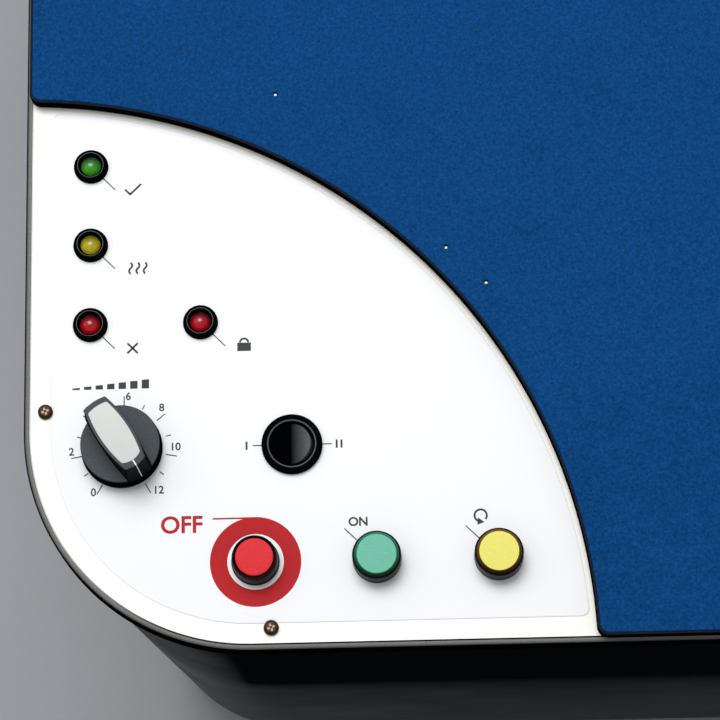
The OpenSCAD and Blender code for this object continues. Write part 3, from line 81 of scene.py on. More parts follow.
# Spots on the panel and the lid, from the plate's left and front edges
LAMP_SPOTS = ((23.6, 189.3), (23.6, 157.4), (23.6, 125.5), (65.8, 125.5))
ROCKER_ROW, BUTTON_ROW = 76.6, 31.9
STOP_X, START_X, CASTING_X = 86.0, 131.45, 176.9
PIN_HOLES = ((95.7, 215.2), (160.3, 151.4), (175.2, 137.0))

# The photograph's view: tilt, spin and roll in degrees, and the seat from the plate's left front corner
CAMERA_TURNS = (15.38, 4.36, -5.62)
CAMERA_SEAT = (149.51, -192.7, 1100.65)

# The power knob: top of its wing, and where and how steeply the wing's nose falls
WING_TOP = 20.0
NOSE_X, NOSE_DROP, NOSE_RUN = 13.4, 11.5, 2.2

# Height of the font's capitals as a share of its size, and the turn of the screws' crosses in degrees
CAPITALS = 0.73
CROSS_TURN = 20.0


def on_panel(x, y):
    """A point of the control panel, from the plate's left and front edges."""
    return LEFT + x, FRONT + y


def rgb(red, green, blue):
    """An 8-bit display colour as the linear one that shaders take."""
    def one(v):
        v /= 255.0
        return v / 12.92 if v <= 0.04045 else ((v + 0.055) / 1.055) ** 2.4
    return (one(red), one(green), one(blue))


# Settings

def number(name, text, default, low, high):
    return FloatProperty(name=name, description=text, default=default, min=low, max=high)


def tint(name, text, *display):
    return FloatVectorProperty(name=name, description=text, subtype="COLOR", size=3, min=0.0, max=1.0,
                               default=rgb(*display))


class LidSettings(bpy.types.PropertyGroup):
    arc_radius: number("Arc radius", "Radius of the cut-out round the panel, in mm", 218.5, 200.0, 240.0)
    arc_offset_x: number("Arc centre left", "Arc centre left of the plate's edge, in mm", 6.0, 0.0, 12.0)
    arc_offset_y: number("Arc centre front", "Arc centre in front of the plate's edge, in mm", 4.0, 0.0, 12.0)
    tip_radius: number("Tip radius", "Radius of the two tips beside the panel, in mm", 4.3, 2.0, 8.0)
    back_radius: number("Rear corner radius", "Radius of the lid's rear corners, in mm", 12.0, 6.0, 16.0)
    corner_radius: number("Corner radius", "Radius of the plate's corners, in mm", 84.3, 70.0, 95.0)
    edge_round: number("Skin edge", "Rounding of the skin's upper edge, in mm", 0.5, 0.3, 1.8)
    lip: number("Trim lip", "Width of the trim's lip beside the skin, in mm", 1.0, 0.4, 1.2)
    pin_radius: number("Pin holes", "Radius of the three pin holes, in mm", 0.9, 0.5, 1.5)


class PanelSettings(bpy.types.PropertyGroup):
    print_height: number("Print height", "Height of the ink above the film, in mm", 0.04, 0.02, 0.1)
    line_width: number("Line width", "Width of the leader lines, in mm", 0.42, 0.2, 0.8)
    ring_outer: number("Ring outside", "Outside diameter of the red ring, in mm", 34.2, 28.0, 40.0)
    ring_inner: number("Ring inside", "Inside diameter of the red ring, in mm", 21.2, 19.0, 26.0)
    numeral_height: number("Numeral height", "Height of the dial's numerals, in mm", 3.05, 2.0, 4.0)
    last_number: IntProperty(name="Last number", description="Highest number on the dial",
                             default=12, min=6, max=12)


class FinishSettings(bpy.types.PropertyGroup):
    lid: tint("Lid", "Powder coat of the lid", 11, 69, 127)
    plate: tint("Plate", "Coat of the deck plate", 254, 253, 247)
    film: tint("Film", "Printed film on the panel", 242, 243, 246)
    housing: tint("Housing", "Powder coat of the housing", 14, 17, 19)
    ink: tint("Ink", "Grey ink of the print", 68, 70, 74)
    red_ink: tint("Red ink", "Red ink of the print", 186, 44, 48)


class StageSettings(bpy.types.PropertyGroup):
    focal: number("Lens", "Focal length of the camera, in mm", 150.0, 50.0, 300.0)
    top_light: number("Top light", "Power of the broad light above the lid, in W", 5.8, 0.0, 400.0)
    side_light: number("Side light", "Power of the light from the left, in W", 2.4, 0.0, 400.0)
    surround: number("Surround", "Strength of the even light of the room", 0.38, 0.0, 3.0)
    floor: tint("Floor", "Colour of the floor", 163, 166, 171)


# Materials: noise on Object coordinates, and in some a fade along an axis or with the surface's direction,
# which paints light and shade

MIX_FACTOR, MIX_FIRST, MIX_SECOND, MIX_RESULT = 0, 6, 7, 2


def feed(node, inputs):
    """Puts plain values and other nodes' outputs on a node's inputs."""
    for socket, given in inputs.items():
        if isinstance(given, bpy.types.NodeSocket):
            node.id_data.links.new(given, node.inputs[socket])
        else:
            node.inputs[socket].default_value = given


def add_node(near, kind, inputs):
    """A new node in the same tree as a node or socket."""
    node = near.id_data.nodes.new("ShaderNode" + kind)
    feed(node, inputs)
    return node


def grain(shader, size, stretch=1.0, detail=2.0, rough=0.5):
    """Noise with features of about this size, in mm; stretch lengthens them along X."""
    place = add_node(shader, "TexCoord", {}).outputs["Object"]
    scaled = add_node(shader, "Mapping", {"Vector": place, "Scale": (1.0 / stretch, 1.0, 1.0)})
    noise = {"Vector": scaled.outputs["Vector"], "Scale": 1000.0 / size, "Detail": detail, "Roughness": rough}
    return add_node(shader, "TexNoise", noise).outputs["Fac"]


def ramp(value, low, high, start=0.3, end=0.7):
    """Colour from low to high as the value goes from start to end."""
    node = add_node(value, "ValToRGB", {"Fac": value})
    for element, position, colour in zip(node.color_ramp.elements, (start, end), (low, high)):
        element.position = position
        element.color = (*colour, 1.0)
    return node.outputs["Color"]


def mixed(share, first, second, blend="MIX"):
    """Two colours mixed by a share; the first is an output, the others can be plain."""
    node = add_node(first, "Mix", {})
    node.data_type = "RGBA"
    node.blend_type = blend
    feed(node, {MIX_FACTOR: share, MIX_FIRST: first, MIX_SECOND: second})
    return node.outputs[MIX_RESULT]


def ranged(value, low, high, start=0.3, end=0.7):
    """Number from low to high as the value goes from start to end."""
    limits = {"From Min": start, "From Max": end, "To Min": low, "To Max": high}
    return add_node(value, "MapRange", {"Value": value, **limits}).outputs["Result"]


def fade(shader, source, axis, start, end):
    """0 to 1 along an axis of the Object coordinates (in mm) or of the surface's direction."""
    place = add_node(shader, "TexCoord", {}).outputs[source]
    parts = add_node(shader, "SeparateXYZ", {"Vector": place})
    scale = 0.001 if source == "Object" else 1.0
    return ranged(parts.outputs[axis], 0.0, 1.0, start * scale, end * scale)


def bumped(shader, height, depth, under=()):
    """Bump of this depth in mm, over an earlier one where that is given; returns it for the next."""
    relief = {"Strength": 1.0, "Distance": depth / 1000.0, "Height": height, **dict(under)}
    bump = {"Normal": add_node(shader, "Bump", relief).outputs["Normal"]}
    feed(shader, bump)
    return bump


def shade(colour, factor):
    return tuple(min(1.0, c * factor) for c in colour)


def toned(noise, colour, spread):
    """A colour that the noise makes darker and lighter by the spread."""
    return ramp(noise, shade(colour, 1 - spread), shade(colour, 1 + spread))


def finish(slot):
    return bpy.data.materials[slot + "_finish"]


def blank(slot):
    """Shader of a slot's new material, whose own name keeps it apart from the one the solids arrive with."""
    material = bpy.data.materials.new(slot + "_finish")
    material.use_nodes = True
    return material.node_tree.nodes["Principled BSDF"]


def dress(shader, colour, noise, rough, depth, values):
    """Wires a shader's colour, and its uneven gloss and bump by one noise, and sets its plain inputs."""
    feed(shader, {"Base Color": colour, "Roughness": ranged(noise, *rough), **values})
    return bumped(shader, noise, depth)


def coat(slot, colour, spread, size, rough, depth, metallic=0.0, cloud=60.0, gloss=0.5):
    """Paint, powder coat or plastic: fine grain, a slow drift of tone and a slightly uneven gloss."""
    shader = blank(slot)
    fine, slow = grain(shader, size, detail=3.0), grain(shader, cloud)
    feed(shader, {
        "Base Color": mixed(0.5, toned(fine, colour, spread), toned(slow, colour, spread / 2)),
        "Roughness": ranged(slow, *rough), "Metallic": metallic, "Specular IOR Level": gloss})
    bumped(shader, fine, depth)
    return shader


def metal(slot, colour, rough, size=0.5, stretch=30.0, spread=0.1, depth=0.006):
    """Bare metal with the drawn-out grain that brushing or rolling leaves."""
    shader = blank(slot)
    lines = grain(shader, size, stretch, detail=4.0, rough=0.6)
    stain = ramp(grain(shader, 45.0), shade(colour, 0.92), colour)
    dress(shader, mixed(0.4, toned(lines, colour, spread), stain), lines, rough, depth, {"Metallic": 1.0})


def lens(slot, deep, bright):
    """Tinted lamp lens under a clear coat: a bright tone on faces turned to the front is painted light, a
    deep tone on faces turned to the back is painted shade.
    """
    shader = blank(slot)
    cells = grain(shader, 1.6, detail=1.0)
    tones = [ramp(cells, shade(c, 0.86), shade(c, 1.1)) for c in (bright, deep)]
    dress(shader, mixed(fade(shader, "Normal", "Y", -0.35, 0.6), *tones), cells, (0.12, 0.18), 0.01, {
        "Specular IOR Level": 0.0, "Coat Weight": 1.0, "Coat Roughness": 0.04,
        "Subsurface Weight": 0.25, "Subsurface Radius": (0.002, 0.002, 0.002)})


def lid_coat(colour):
    """The lid's blue: pebbled powder coat with light and dark specks and a slow mottling."""
    shader, white = blank("lid_blue"), (1.0, 1.0, 1.0)
    pebble, speck = grain(shader, 1.15, rough=0.6), grain(shader, 0.85, detail=1.0)
    tone = ramp(pebble, shade(colour, 0.64), shade(colour, 1.4))
    dots = ramp(speck, shade(white, 0.74), white, 0.3, 0.62)
    patch = ramp(grain(shader, 28.0), shade(white, 0.9), white)
    drift = toned(grain(shader, 120.0), colour, 0.06)
    grainy = mixed(1.0, mixed(0.3, tone, drift), dots, "MULTIPLY")
    pebbled = dress(shader, mixed(1.0, grainy, patch, "MULTIPLY"), pebble, (0.62, 0.74), 0.05,
                    {"Specular IOR Level": 0.03})
    bumped(shader, speck, 0.02, pebbled)


def faded_coat(slot, level, dark, light, rough=(0.44, 0.56), gloss=0.0):
    """Plastic that goes from a dark tone to a light one along fade's arguments; each use here paints light
    and shade this way.
    """
    shader = blank(slot)
    fine = grain(shader, 0.6, detail=3.0)
    tones = [toned(fine, c, 0.12) for c in (dark, light)]
    dress(shader, mixed(fade(shader, *level), *tones), fine, rough, 0.01, {"Specular IOR Level": gloss})


def shell_coat(colour):
    """The housing's black: orange-peel powder coat, dull below the rim, glossier at the foot and the left."""
    shader = coat("shell_black", colour, 0.3, 1.6, (0.4, 0.52), 0.05)
    dull = add_node(shader, "Math", {0: fade(shader, "Object", "Z", 40.0, 235.0),
                                     1: fade(shader, "Normal", "X", -1.0, -0.12)})
    dull.operation = "MULTIPLY"
    feed(shader, {"IOR": ranged(dull.outputs["Value"], 1.5, 1.0, 0.0, 1.0)})


def plate_coat(colour):
    """The deck's cream: satin lacquer over a faintly brushed sheet."""
    shader = blank("plate_cream")
    lines = grain(shader, 0.5, 60.0, detail=3.0)
    drift = ramp(grain(shader, 70.0), shade(colour, 0.98), colour)
    dress(shader, mixed(0.5, ramp(lines, shade(colour, 0.96), colour), drift), lines, (0.34, 0.46), 0.004, {})


def face_print(slot, colour, edge):
    """Button face: frosted plastic whose tone flickers a little."""
    shader = blank(slot)
    fine = grain(shader, 0.8, detail=3.0, rough=0.65)
    share = ranged(grain(shader, 5.0), 0.35, 0.65)
    flicker = mixed(share, ramp(fine, edge, colour, 0.25, 0.6), (*colour, 1.0))
    dress(shader, flicker, fine, (0.42, 0.52), 0.012, {
        "Specular IOR Level": 0.12, "Subsurface Weight": 0.15, "Subsurface Radius": (0.001, 0.001, 0.001)})


def glass(slot, colour):
    """Clear window glass with a faint, uneven tint."""
    shader = blank(slot)
    slow = grain(shader, 30.0)
    feed(shader, {"Base Color": ramp(slow, shade(colour, 0.9), colour), "Roughness": ranged(slow, 0.02, 0.06),
                  "Transmission Weight": 0.85, "IOR": 1.5})


def make_finishes(colours):
    """One material for each slot of the record, and the extra ones of the drawn pieces."""
    lid_coat(tuple(colours.lid))
    shell_coat(tuple(colours.housing))
    plate_coat(tuple(colours.plate))

    upward, rearward = ("Normal", "Z"), ("Normal", "Y", -0.7, 0.7)
    # Painted shade: the seam is dark along the front and fades to the plate's tone further back
    seam = ("Object", "Y", FRONT + 6.0, FRONT + 40.0)
    hinge = middle("rocker_bezel").x
    tipped = ("Object", "X", hinge - 0.4, hinge + 7.6)
    # Rim shoulder: near black, grey on its upward faces: a painted highlight along the top of the bead
    faded_coat("rim_grey", (*upward, 0.72, 1.0), rgb(4, 5, 6), rgb(126, 125, 123), (0.34, 0.44))
    faded_coat("rim_seam_painted_shade", seam, rgb(6, 7, 8), rgb(214, 210, 204))
    # Lid trim: near black on its sides, lighter grey on its rounded upper lip: a painted highlight along the
    # lip
    faded_coat("trim_black", (*upward, 0.3, 0.75), rgb(5, 6, 8), rgb(38, 38, 46))
    # Knob: near black on steep faces, charcoal grey on upward faces: painted shade on its sides and painted
    # light on its tops
    faded_coat("knob_charcoal", (*upward, 0.06, 0.95), rgb(5, 6, 8), rgb(80, 85, 89))
    # Rocker paddle: black on the pressed half, grey towards the raised half across the hinge: a painted sheen
    # on the raised half
    faded_coat("rocker_painted_sheen", tipped, rgb(2, 3, 4), rgb(98, 103, 106))
    # Button lens rims: darker on faces turned to the front, lighter on faces turned to the back: painted
    # shade and painted light
    faded_coat("rim_green_painted_shading", rearward, rgb(8, 54, 22), rgb(44, 128, 94), gloss=0.05)
    faded_coat("rim_amber_painted_shading", rearward, rgb(48, 24, 4), rgb(118, 80, 38), gloss=0.05)

    coat("overlay_white", tuple(colours.film), 0.012, 0.9, (0.42, 0.5), 0.004, cloud=90.0, gloss=0.4)
    coat("ink_grey", tuple(colours.ink), 0.05, 0.4, (0.6, 0.7), 0.003, gloss=0.08)
    coat("ink_red", tuple(colours.red_ink), 0.1, 0.7, (0.6, 0.7), 0.003, gloss=0.06)
    coat("ink_white", rgb(246, 246, 244), 0.02, 0.4, (0.45, 0.55), 0.003)
    coat("film_edge", rgb(230, 226, 220), 0.03, 0.8, (0.45, 0.55), 0.003)
    coat("steel_grey", rgb(118, 121, 126), 0.08, 1.4, (0.45, 0.6), 0.02)
    coat("rubber_black", rgb(30, 30, 32), 0.15, 0.7, (0.62, 0.8), 0.02, gloss=0.3)
    coat("black_gloss", rgb(4, 5, 6), 0.2, 2.0, (0.2, 0.28), 0.002, gloss=0.4)
    coat("black_matt", rgb(20, 20, 22), 0.2, 0.7, (0.38, 0.5), 0.008)
    coat("bezel_black", rgb(6, 7, 8), 0.2, 0.7, (0.42, 0.54), 0.006, gloss=0.0)
    coat("collar_black", rgb(10, 11, 12), 0.2, 0.7, (0.3, 0.4), 0.006, gloss=0.07)
    coat("inlay_grey", rgb(209, 212, 209), 0.03, 0.5, (0.4, 0.5), 0.004, gloss=0.2)
    # Grey of the thin edge rings: a painted highlight on the collars' steps, partly a lighter edge on the
    # rocker's bore
    coat("edge_grey", rgb(98, 101, 103), 0.05, 0.6, (0.5, 0.6), 0.004, gloss=0.15)
    # Light ring at the lamp wells' lips: partly a lighter edge, partly a painted highlight
    coat("well_edge", rgb(128, 132, 134), 0.05, 0.6, (0.5, 0.6), 0.004, gloss=0.15)
    # Light cross colour on bronze screw heads: a painted highlight
    coat("screw_cross_painted_glint", rgb(176, 156, 130), 0.1, 0.4, (0.5, 0.6), 0.004, metallic=0.3)
    coat("ceramic", rgb(222, 216, 204), 0.06, 1.5, (0.6, 0.75), 0.03)
    coat("insulator", rgb(208, 196, 170), 0.06, 2.0, (0.5, 0.65), 0.02)
    coat("board_green", rgb(22, 78, 46), 0.12, 1.0, (0.3, 0.42), 0.01)
    coat("can_blue", rgb(40, 58, 104), 0.08, 1.0, (0.3, 0.4), 0.006)
    coat("weight_iron", rgb(92, 92, 94), 0.18, 1.6, (0.4, 0.6), 0.03, metallic=0.8)

    metal("screw_bronze", rgb(64, 50, 38), (0.42, 0.58), 0.5, 3.0, 0.2, 0.004)
    metal("steel", rgb(176, 178, 180), (0.28, 0.42))
    metal("steel_bright", rgb(206, 207, 208), (0.16, 0.28))
    metal("aluminium", rgb(196, 198, 201), (0.3, 0.45), 0.6, 24.0)
    metal("copper", rgb(196, 118, 78), (0.2, 0.36), 1.2, 4.0, 0.16)
    metal("brass", rgb(196, 164, 92), (0.2, 0.34), 0.8, 4.0, 0.14)

    # Each lens takes a deep tone, painted shade on its back, then a bright tone, painted light on its front
    lens("lens_green", rgb(26, 74, 46), rgb(60, 150, 30))
    lens("lens_yellow", rgb(104, 98, 12), rgb(190, 178, 26))
    lens("lens_red", rgb(84, 16, 22), rgb(182, 8, 24))
    face_print("cap_red", rgb(226, 48, 58), rgb(184, 26, 38))
    face_print("cap_green", rgb(116, 191, 168), rgb(96, 176, 150))
    face_print("cap_yellow", rgb(238, 230, 120), rgb(222, 212, 96))
    glass("window_glass", rgb(150, 160, 158))


# Shapes

def heading(angle):
    """Level unit vector at an angle in degrees."""
    return Vector((math.cos(math.radians(angle)), math.sin(math.radians(angle)), 0.0))


def arc(x, z, r, start, end, steps, tall=None):
    """Points of a rounding in a profile, as (out, up) pairs; with tall, of an ellipse."""
    turns = [math.radians(start + (end - start) * i / steps) for i in range(steps + 1)]
    return [(x + r * math.cos(t), z + (tall or r) * math.sin(t)) for t in turns]


def thread(r, z, thick):
    """Closed round profile of a fine bright line round a turned piece."""
    return arc(r, z, thick, 0, 360, 8)[:-1]


def verts_in(geom):
    return [v for v in geom if isinstance(v, bmesh.types.BMVert)]


def edges_in(geom):
    return [e for e in geom if isinstance(e, bmesh.types.BMEdge)]


def chain(bm, points, closed):
    """Vertices and the edges between them."""
    verts = [bm.verts.new(p) for p in points]
    ring = verts + verts[:1] if closed else verts
    return verts + [bm.edges.new(pair) for pair in zip(ring, ring[1:])]


def spun(bm, geom, centre, angle, steps, merge=False):
    """Carries vertices and edges round an upright axis and returns those at the end."""
    made = bmesh.ops.spin(bm, geom=geom, cent=centre, axis=(0.0, 0.0, 1.0), dvec=(0.0, 0.0, 0.0),
                          angle=math.radians(angle), steps=steps, use_merge=merge, use_duplicate=False)
    return made["geom_last"]


def turned(bm, centre, profile, closed=False, steps=64):
    """A piece turned on a lathe: a profile of (radius, height) points about an upright axis."""
    c = Vector(centre)
    geom = chain(bm, [c + Vector((r, 0.0, z)) for r, z in profile], closed)
    spun(bm, geom, c, 360.0, steps, merge=True)


def edge_swept(bm, profile, start, runs, closed=True):
    """A profile of (inset, height) points carried along an outline of turns and straight runs."""
    centre, radius, angle, sign = start
    way = heading(angle)
    last = chain(bm, [Vector((*centre, z)) + way * (radius + sign * inset) for inset, z in profile], closed)
    for kind, where, *turn in runs:
        if kind == "turn":
            last = spun(bm, last, (*where, 0.0), *turn)
        else:
            made = bmesh.ops.extrude_edge_only(bm, edges=edges_in(last))["geom"]
            verts = verts_in(made)
            bmesh.ops.translate(bm, verts=verts, vec=(*where, 0.0))
            last = verts + [e for e in edges_in(made) if all(v in verts for v in e.verts)]
    bmesh.ops.remove_doubles(bm, verts=bm.verts, dist=0.01)


def bar(bm, start, end, width, low, high):
    """A straight line of print, as a flat solid bar."""
    a, b = Vector((*start, 0.0)), Vector((*end, 0.0))
    along = b - a
    centre = (a + b) / 2 + Vector((0.0, 0.0, (low + high) / 2))
    place = (Matrix.Translation(centre) @ Matrix.Rotation(math.atan2(along.y, along.x), 4, "Z")
             @ Matrix.Diagonal((along.length, width, high - low, 1.0)))
    bmesh.ops.create_cube(bm, size=1.0, matrix=place)


def cross(bm, x, y, arm, width, low, high):
    """Two crossed bars in the place of a screw's cross recess; they carry a painted glint on some screws and
    painted shade on others.
    """
    for turn in (CROSS_TURN, CROSS_TURN + 90.0):
        way = heading(turn) * arm
        bar(bm, (x - way.x, y - way.y), (x + way.x, y + way.y), width, low, high)


def band(bm, centre, radius, width, start, end, low, high, steps):
    """Part of a printed ring, with closed ends."""
    c, way = Vector((*centre, 0.0)), heading(start)
    inner, outer = radius - width / 2, radius + width / 2
    corners = ((inner, low), (outer, low), (outer, high), (inner, high))
    first = chain(bm, [c + way * r + Vector((0.0, 0.0, z)) for r, z in corners], True)
    for ends in (first, spun(bm, first, c, end - start, steps)):
        bmesh.ops.contextual_create(bm, geom=edges_in(ends))


def flat_shape(bm, points, low, high):
    """A shape with straight sides, as a flat solid; returns its upper vertices."""
    face = bm.faces.new([bm.verts.new((x, y, low)) for x, y in points])
    made = bmesh.ops.extrude_face_region(bm, geom=[face], use_keep_orig=True)
    top = verts_in(made["geom"])
    bmesh.ops.translate(bm, verts=top, vec=(0.0, 0.0, high - low))
    return top


def linked(name, data):
    """A new object with this data, in the scene."""
    made = bpy.data.objects.new(name, data)
    bpy.context.scene.collection.objects.link(made)
    return made


def numeral(bm, words, centre, height, low, high, bold):
    """Plain characters of print, centred on a point, made a mesh."""
    line = bpy.data.curves.new("print_line", "FONT")
    line.body = words
    line.size = height / CAPITALS
    line.align_x = "CENTER"
    line.align_y = "CENTER"
    line.offset = bold
    line.extrude = (high - low) / 2
    holder = linked("print_line", line)
    bpy.context.view_layer.update()
    mesh = bpy.data.meshes.new_from_object(holder.evaluated_get(bpy.context.evaluated_depsgraph_get()))
    shift = [(low + high) / 2] * 3
    for axis in (0, 1):
        places = [v.co[axis] for v in mesh.vertices]
        shift[axis] = centre[axis] - (min(places) + max(places)) / 2
    mesh.transform(Matrix.Translation(shift))
    bm.from_mesh(mesh)
    bpy.data.objects.remove(holder)
    bpy.data.curves.remove(line)
    bpy.data.meshes.remove(mesh)


def axes_at(x, y, z, at):
    """The matrix that sets a shape's own axes along these directions at a point."""
    return Matrix((*zip(x, y, z, at), (0.0, 0.0, 0.0, 1.0)))


# Pieces

def piece(bm, name, body, slot, material=None, stands_for=(), sharp=32.0):
    """Turns a drawn shape into an object of the machine, riding on a body."""
    bmesh.ops.remove_doubles(bm, verts=bm.verts, dist=0.0005)
    bmesh.ops.recalc_face_normals(bm, faces=bm.faces)
    bmesh.ops.scale(bm, vec=(0.001, 0.001, 0.001), verts=bm.verts)
    for face in bm.faces:
        face.smooth = len(face.verts) < 5
    mesh = bpy.data.meshes.new(name)
    bm.to_mesh(mesh)
    bm.free()
    mesh.set_sharp_from_angle(angle=math.radians(sharp))
    mesh.materials.append(finish(material or slot))
    made = linked(name, mesh)
    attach(made, body)
    if stands_for:
        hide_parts(*stands_for)
    return made


def lathed(turns, name, body, slot, material=None, stands_for=(), closed=False, steps=64):
    """A piece made of profiles turned on the panel, as (spot, profile) pairs."""
    bm = bmesh.new()
    for spot, profile in turns:
        turned(bm, (*spot, PANEL_Z), profile, closed, steps)
    piece(bm, name, body, slot, material, stands_for)


def swept(profile, outline, name, body, slot, material=None, stands_for=()):
    """A piece made of a profile carried along an outline's start and runs."""
    bm = bmesh.new()
    edge_swept(bm, profile, *outline)
    piece(bm, name, body, slot, material, stands_for)


def pan_heads(spots, plane, name, body, slot, bright):
    """Cross-head screws at (x, y, radius, height) spots of a plane, with flat heads and bars in the crosses'
    place in a second material: dark for painted shade, light for a painted glint.
    """
    heads, crosses = bmesh.new(), bmesh.new()
    for x, y, r, h in spots:
        edge = 0.3 * r
        turned(heads, (x, y, 0.0), [(0.0, h), (r - edge, h)] + arc(r - edge, h - edge, edge, 80, 0, 4)
               + [(r, -0.2), (0.0, -0.2)], steps=28)
        cross(crosses, x, y, r * 0.58, 0.3 * r, h - 0.6, h + 0.02)
    for bm, part, material in ((heads, "_heads", slot), (crosses, "_crosses", bright)):
        bmesh.ops.transform(bm, matrix=plane, verts=bm.verts)
        piece(bm, name + part, body, slot, material)


def arc_ends(settings, radius, left, front):
    """Hub of the panel's arc, and where a circle about it meets two lines: the points and their angles."""
    x, y = LEFT - settings.arc_offset_x, FRONT - settings.arc_offset_y
    a = Vector((left, y + math.sqrt(radius ** 2 - (left - x) ** 2)))
    b = Vector((x + math.sqrt(radius ** 2 - (front - y) ** 2), front))
    a_turn, b_turn = (math.degrees(math.atan2(p.y - y, p.x - x)) for p in (a, b))
    return (x, y), a, b, a_turn, b_turn


def lid_outline(settings):
    """Start and runs of the lid's outline, from the tip beside the left edge, along the panel and round."""
    rear = span("lid_trim")[1].y
    c, r, tip, back = settings.corner_radius, settings.arc_radius, settings.tip_radius, settings.back_radius
    corner_x, corner_y = -LEFT - c, -FRONT - c
    hub, a, b, a_turn, b_turn = arc_ends(settings, r + tip, LEFT + tip, FRONT + tip)
    d = Vector((-corner_x - math.sqrt((c - back) ** 2 - (rear - back - corner_y) ** 2), rear - back))
    d_turn = math.degrees(math.atan2(d.y - corner_y, d.x + corner_x))
    runs = [
        ("turn", hub, b_turn - a_turn, 90),
        ("turn", tuple(b), 90.0 - b_turn, 10),
        ("go", (corner_x - b.x, 0.0)),
        ("turn", (corner_x, -corner_y), 90.0, 28),
        ("go", (0.0, 2 * corner_y)),
        ("turn", (corner_x, corner_y), 180.0 - d_turn, 14),
        ("turn", (-d.x, d.y), d_turn - 90.0, 12),
        ("go", (2 * d.x, 0.0)),
        ("turn", tuple(d), d_turn - 90.0, 12),
        ("turn", (-corner_x, corner_y), 180.0 - d_turn, 14),
        ("go", (0.0, a.y - corner_y)),
        ("turn", tuple(a), a_turn, 10),
    ]
    return (hub, r, a_turn, 1.0), runs


def ink_levels(settings):
    """Underside, just inside the film, and top of the print."""
    return PANEL_Z - 0.02, PANEL_Z + settings.print_height


# Operators

class CASTING_OT_stage(bpy.types.Operator):
    """Camera at the photograph's view, soft light from above and a plain floor"""
    bl_idname = "casting.stage"
    bl_label = "Stage"

    def execute(self, context):
        settings = context.scene.casting_stage
        bm = bmesh.new()
        bmesh.ops.create_grid(bm, x_segments=4, y_segments=4, size=9.0)
        mesh = bpy.data.meshes.new("floor")
        bm.to_mesh(mesh)
        bm.free()
        coat("floor_paint", tuple(settings.floor), 0.02, 3.0, (0.6, 0.75), 0.01, cloud=300.0)
        mesh.materials.append(finish("floor_paint"))
        floor = linked("floor", mesh)

        tilt, spin, roll = (math.radians(turn) for turn in CAMERA_TURNS)
        about = Matrix.Rotation(spin, 3, "Z")
        across = about @ Vector((1.0, 0.0, 0.0))
        rise = about @ Vector((0.0, math.cos(tilt), math.sin(tilt)))
        back = about @ Vector((0.0, -math.sin(tilt), math.cos(tilt)))
        right = math.cos(roll) * across + math.sin(roll) * rise
        up = math.cos(roll) * rise - math.sin(roll) * across
        seat = Vector([a + b for a, b in zip((LEFT, FRONT, PLATE_TOP), CAMERA_SEAT)]) / 1000
        data = bpy.data.cameras.new("photo_camera")
        data.lens = settings.focal
        data.sensor_width = 36.0
        data.clip_start = 0.05
        camera = linked("photo_camera", data)
        camera.matrix_world = axes_at(right, up, back, seat)
        context.scene.camera = camera

        for name, at, target, size, beam, power in (
                ("top_light", (-0.35, 0.6, 2.1), (-0.12, -0.02, 0.37), 1.3, 70.0, settings.top_light),
                ("side_light", (-1.5, 0.4, 1.8), (-0.15, -0.1, 0.37), 1.4, 120.0, settings.side_light),
                ("front_light", (1.4, -2.2, 0.9), (0.0, 0.0, 0.2), 1.2, 180.0, settings.side_light / 12)):
            light = bpy.data.lights.new(name, "AREA")
            light.shape = "SQUARE"
            light.size = size
            light.spread = math.radians(beam)
            light.energy = power
            lamp = linked(name, light)
            lamp.location = at
            lamp.rotation_euler = (Vector(target) - Vector(at)).to_track_quat("-Z", "Y").to_euler()
        world = bpy.data.worlds.new("room")
        world.use_nodes = True
        feed(world.node_tree.nodes["Background"],
             {"Color": (1.0, 1.0, 1.0, 1.0), "Strength": settings.surround})
        context.scene.world = world
        context.scene.view_settings.view_transform = "Standard"
        return {"FINISHED"}


class CASTING_OT_finishes(bpy.types.Operator):
    """Makes every finish and puts it on the CAD nodes"""
    bl_idname = "casting.finishes"
    bl_label = "Finishes"

    def execute(self, context):
        make_finishes(context.scene.casting_finish)
        for part in frame["record"]["subparts"]:
            mesh = frame["nodes"][part["node"]].data
            mesh.materials.clear()
            mesh.materials.append(finish(part["material_slot"]))
            for polygon in mesh.polygons:
                polygon.material_index = 0
        return {"FINISHED"}


class CASTING_OT_rim(bpy.types.Operator):
    """Rim round the top: a rounded shoulder that laps the plate, and the seam between them, dark with painted
    shade along the front and fading to the plate's tone further back
    """
    bl_idname = "casting.rim"
    bl_label = "Rim"

    def execute(self, context):
        foot, top = RIM_LOW.z, RIM_HIGH.z
        corner = context.scene.casting_lid.corner_radius + PLATE_EDGE
        x, y = RIM_HIGH.x - corner, RIM_HIGH.y - corner
        wall, lap, lap_under, seam_top = PLATE_EDGE - 0.05, PLATE_EDGE + 0.55, top - 0.3, top - 0.16
        shoulder = ([(wall, foot), (0.3, foot)] + arc(0.3, foot + 0.3, 0.3, 270, 180, 3)
                    + arc(2.0, top - 1.5, 2.0, 180, 90, 10, tall=1.5)
                    + [(lap - 0.1, top), (lap, top - 0.1), (lap, lap_under), (wall, lap_under)])
        near, far = lap - 0.05, lap + 0.5
        seam = [(near, lap_under), (near, seam_top), (far, seam_top), (far, lap_under)]
        runs = []
        for cx, cy, go in ((-x, -y, (2 * x, 0.0)), (x, -y, (0.0, 2 * y)),
                           (x, y, (-2 * x, 0.0)), (-x, y, (0.0, -2 * y))):
            runs += [("turn", (cx, cy), 90.0, 32), ("go", go)]
        outline = (((-x, -y), corner, 180.0, -1.0), runs)
        # The shoulder's finish paints a highlight on its upward faces
        swept(shoulder, outline, "rim_shoulder", "housing", "rim_grey", stands_for=("top_rim",))
        # The seam's finish is painted shade, dark at the front only
        swept(seam, outline, "rim_seam_painted_shade", "housing", "rim_grey", "rim_seam_painted_shade")
        return {"FINISHED"}


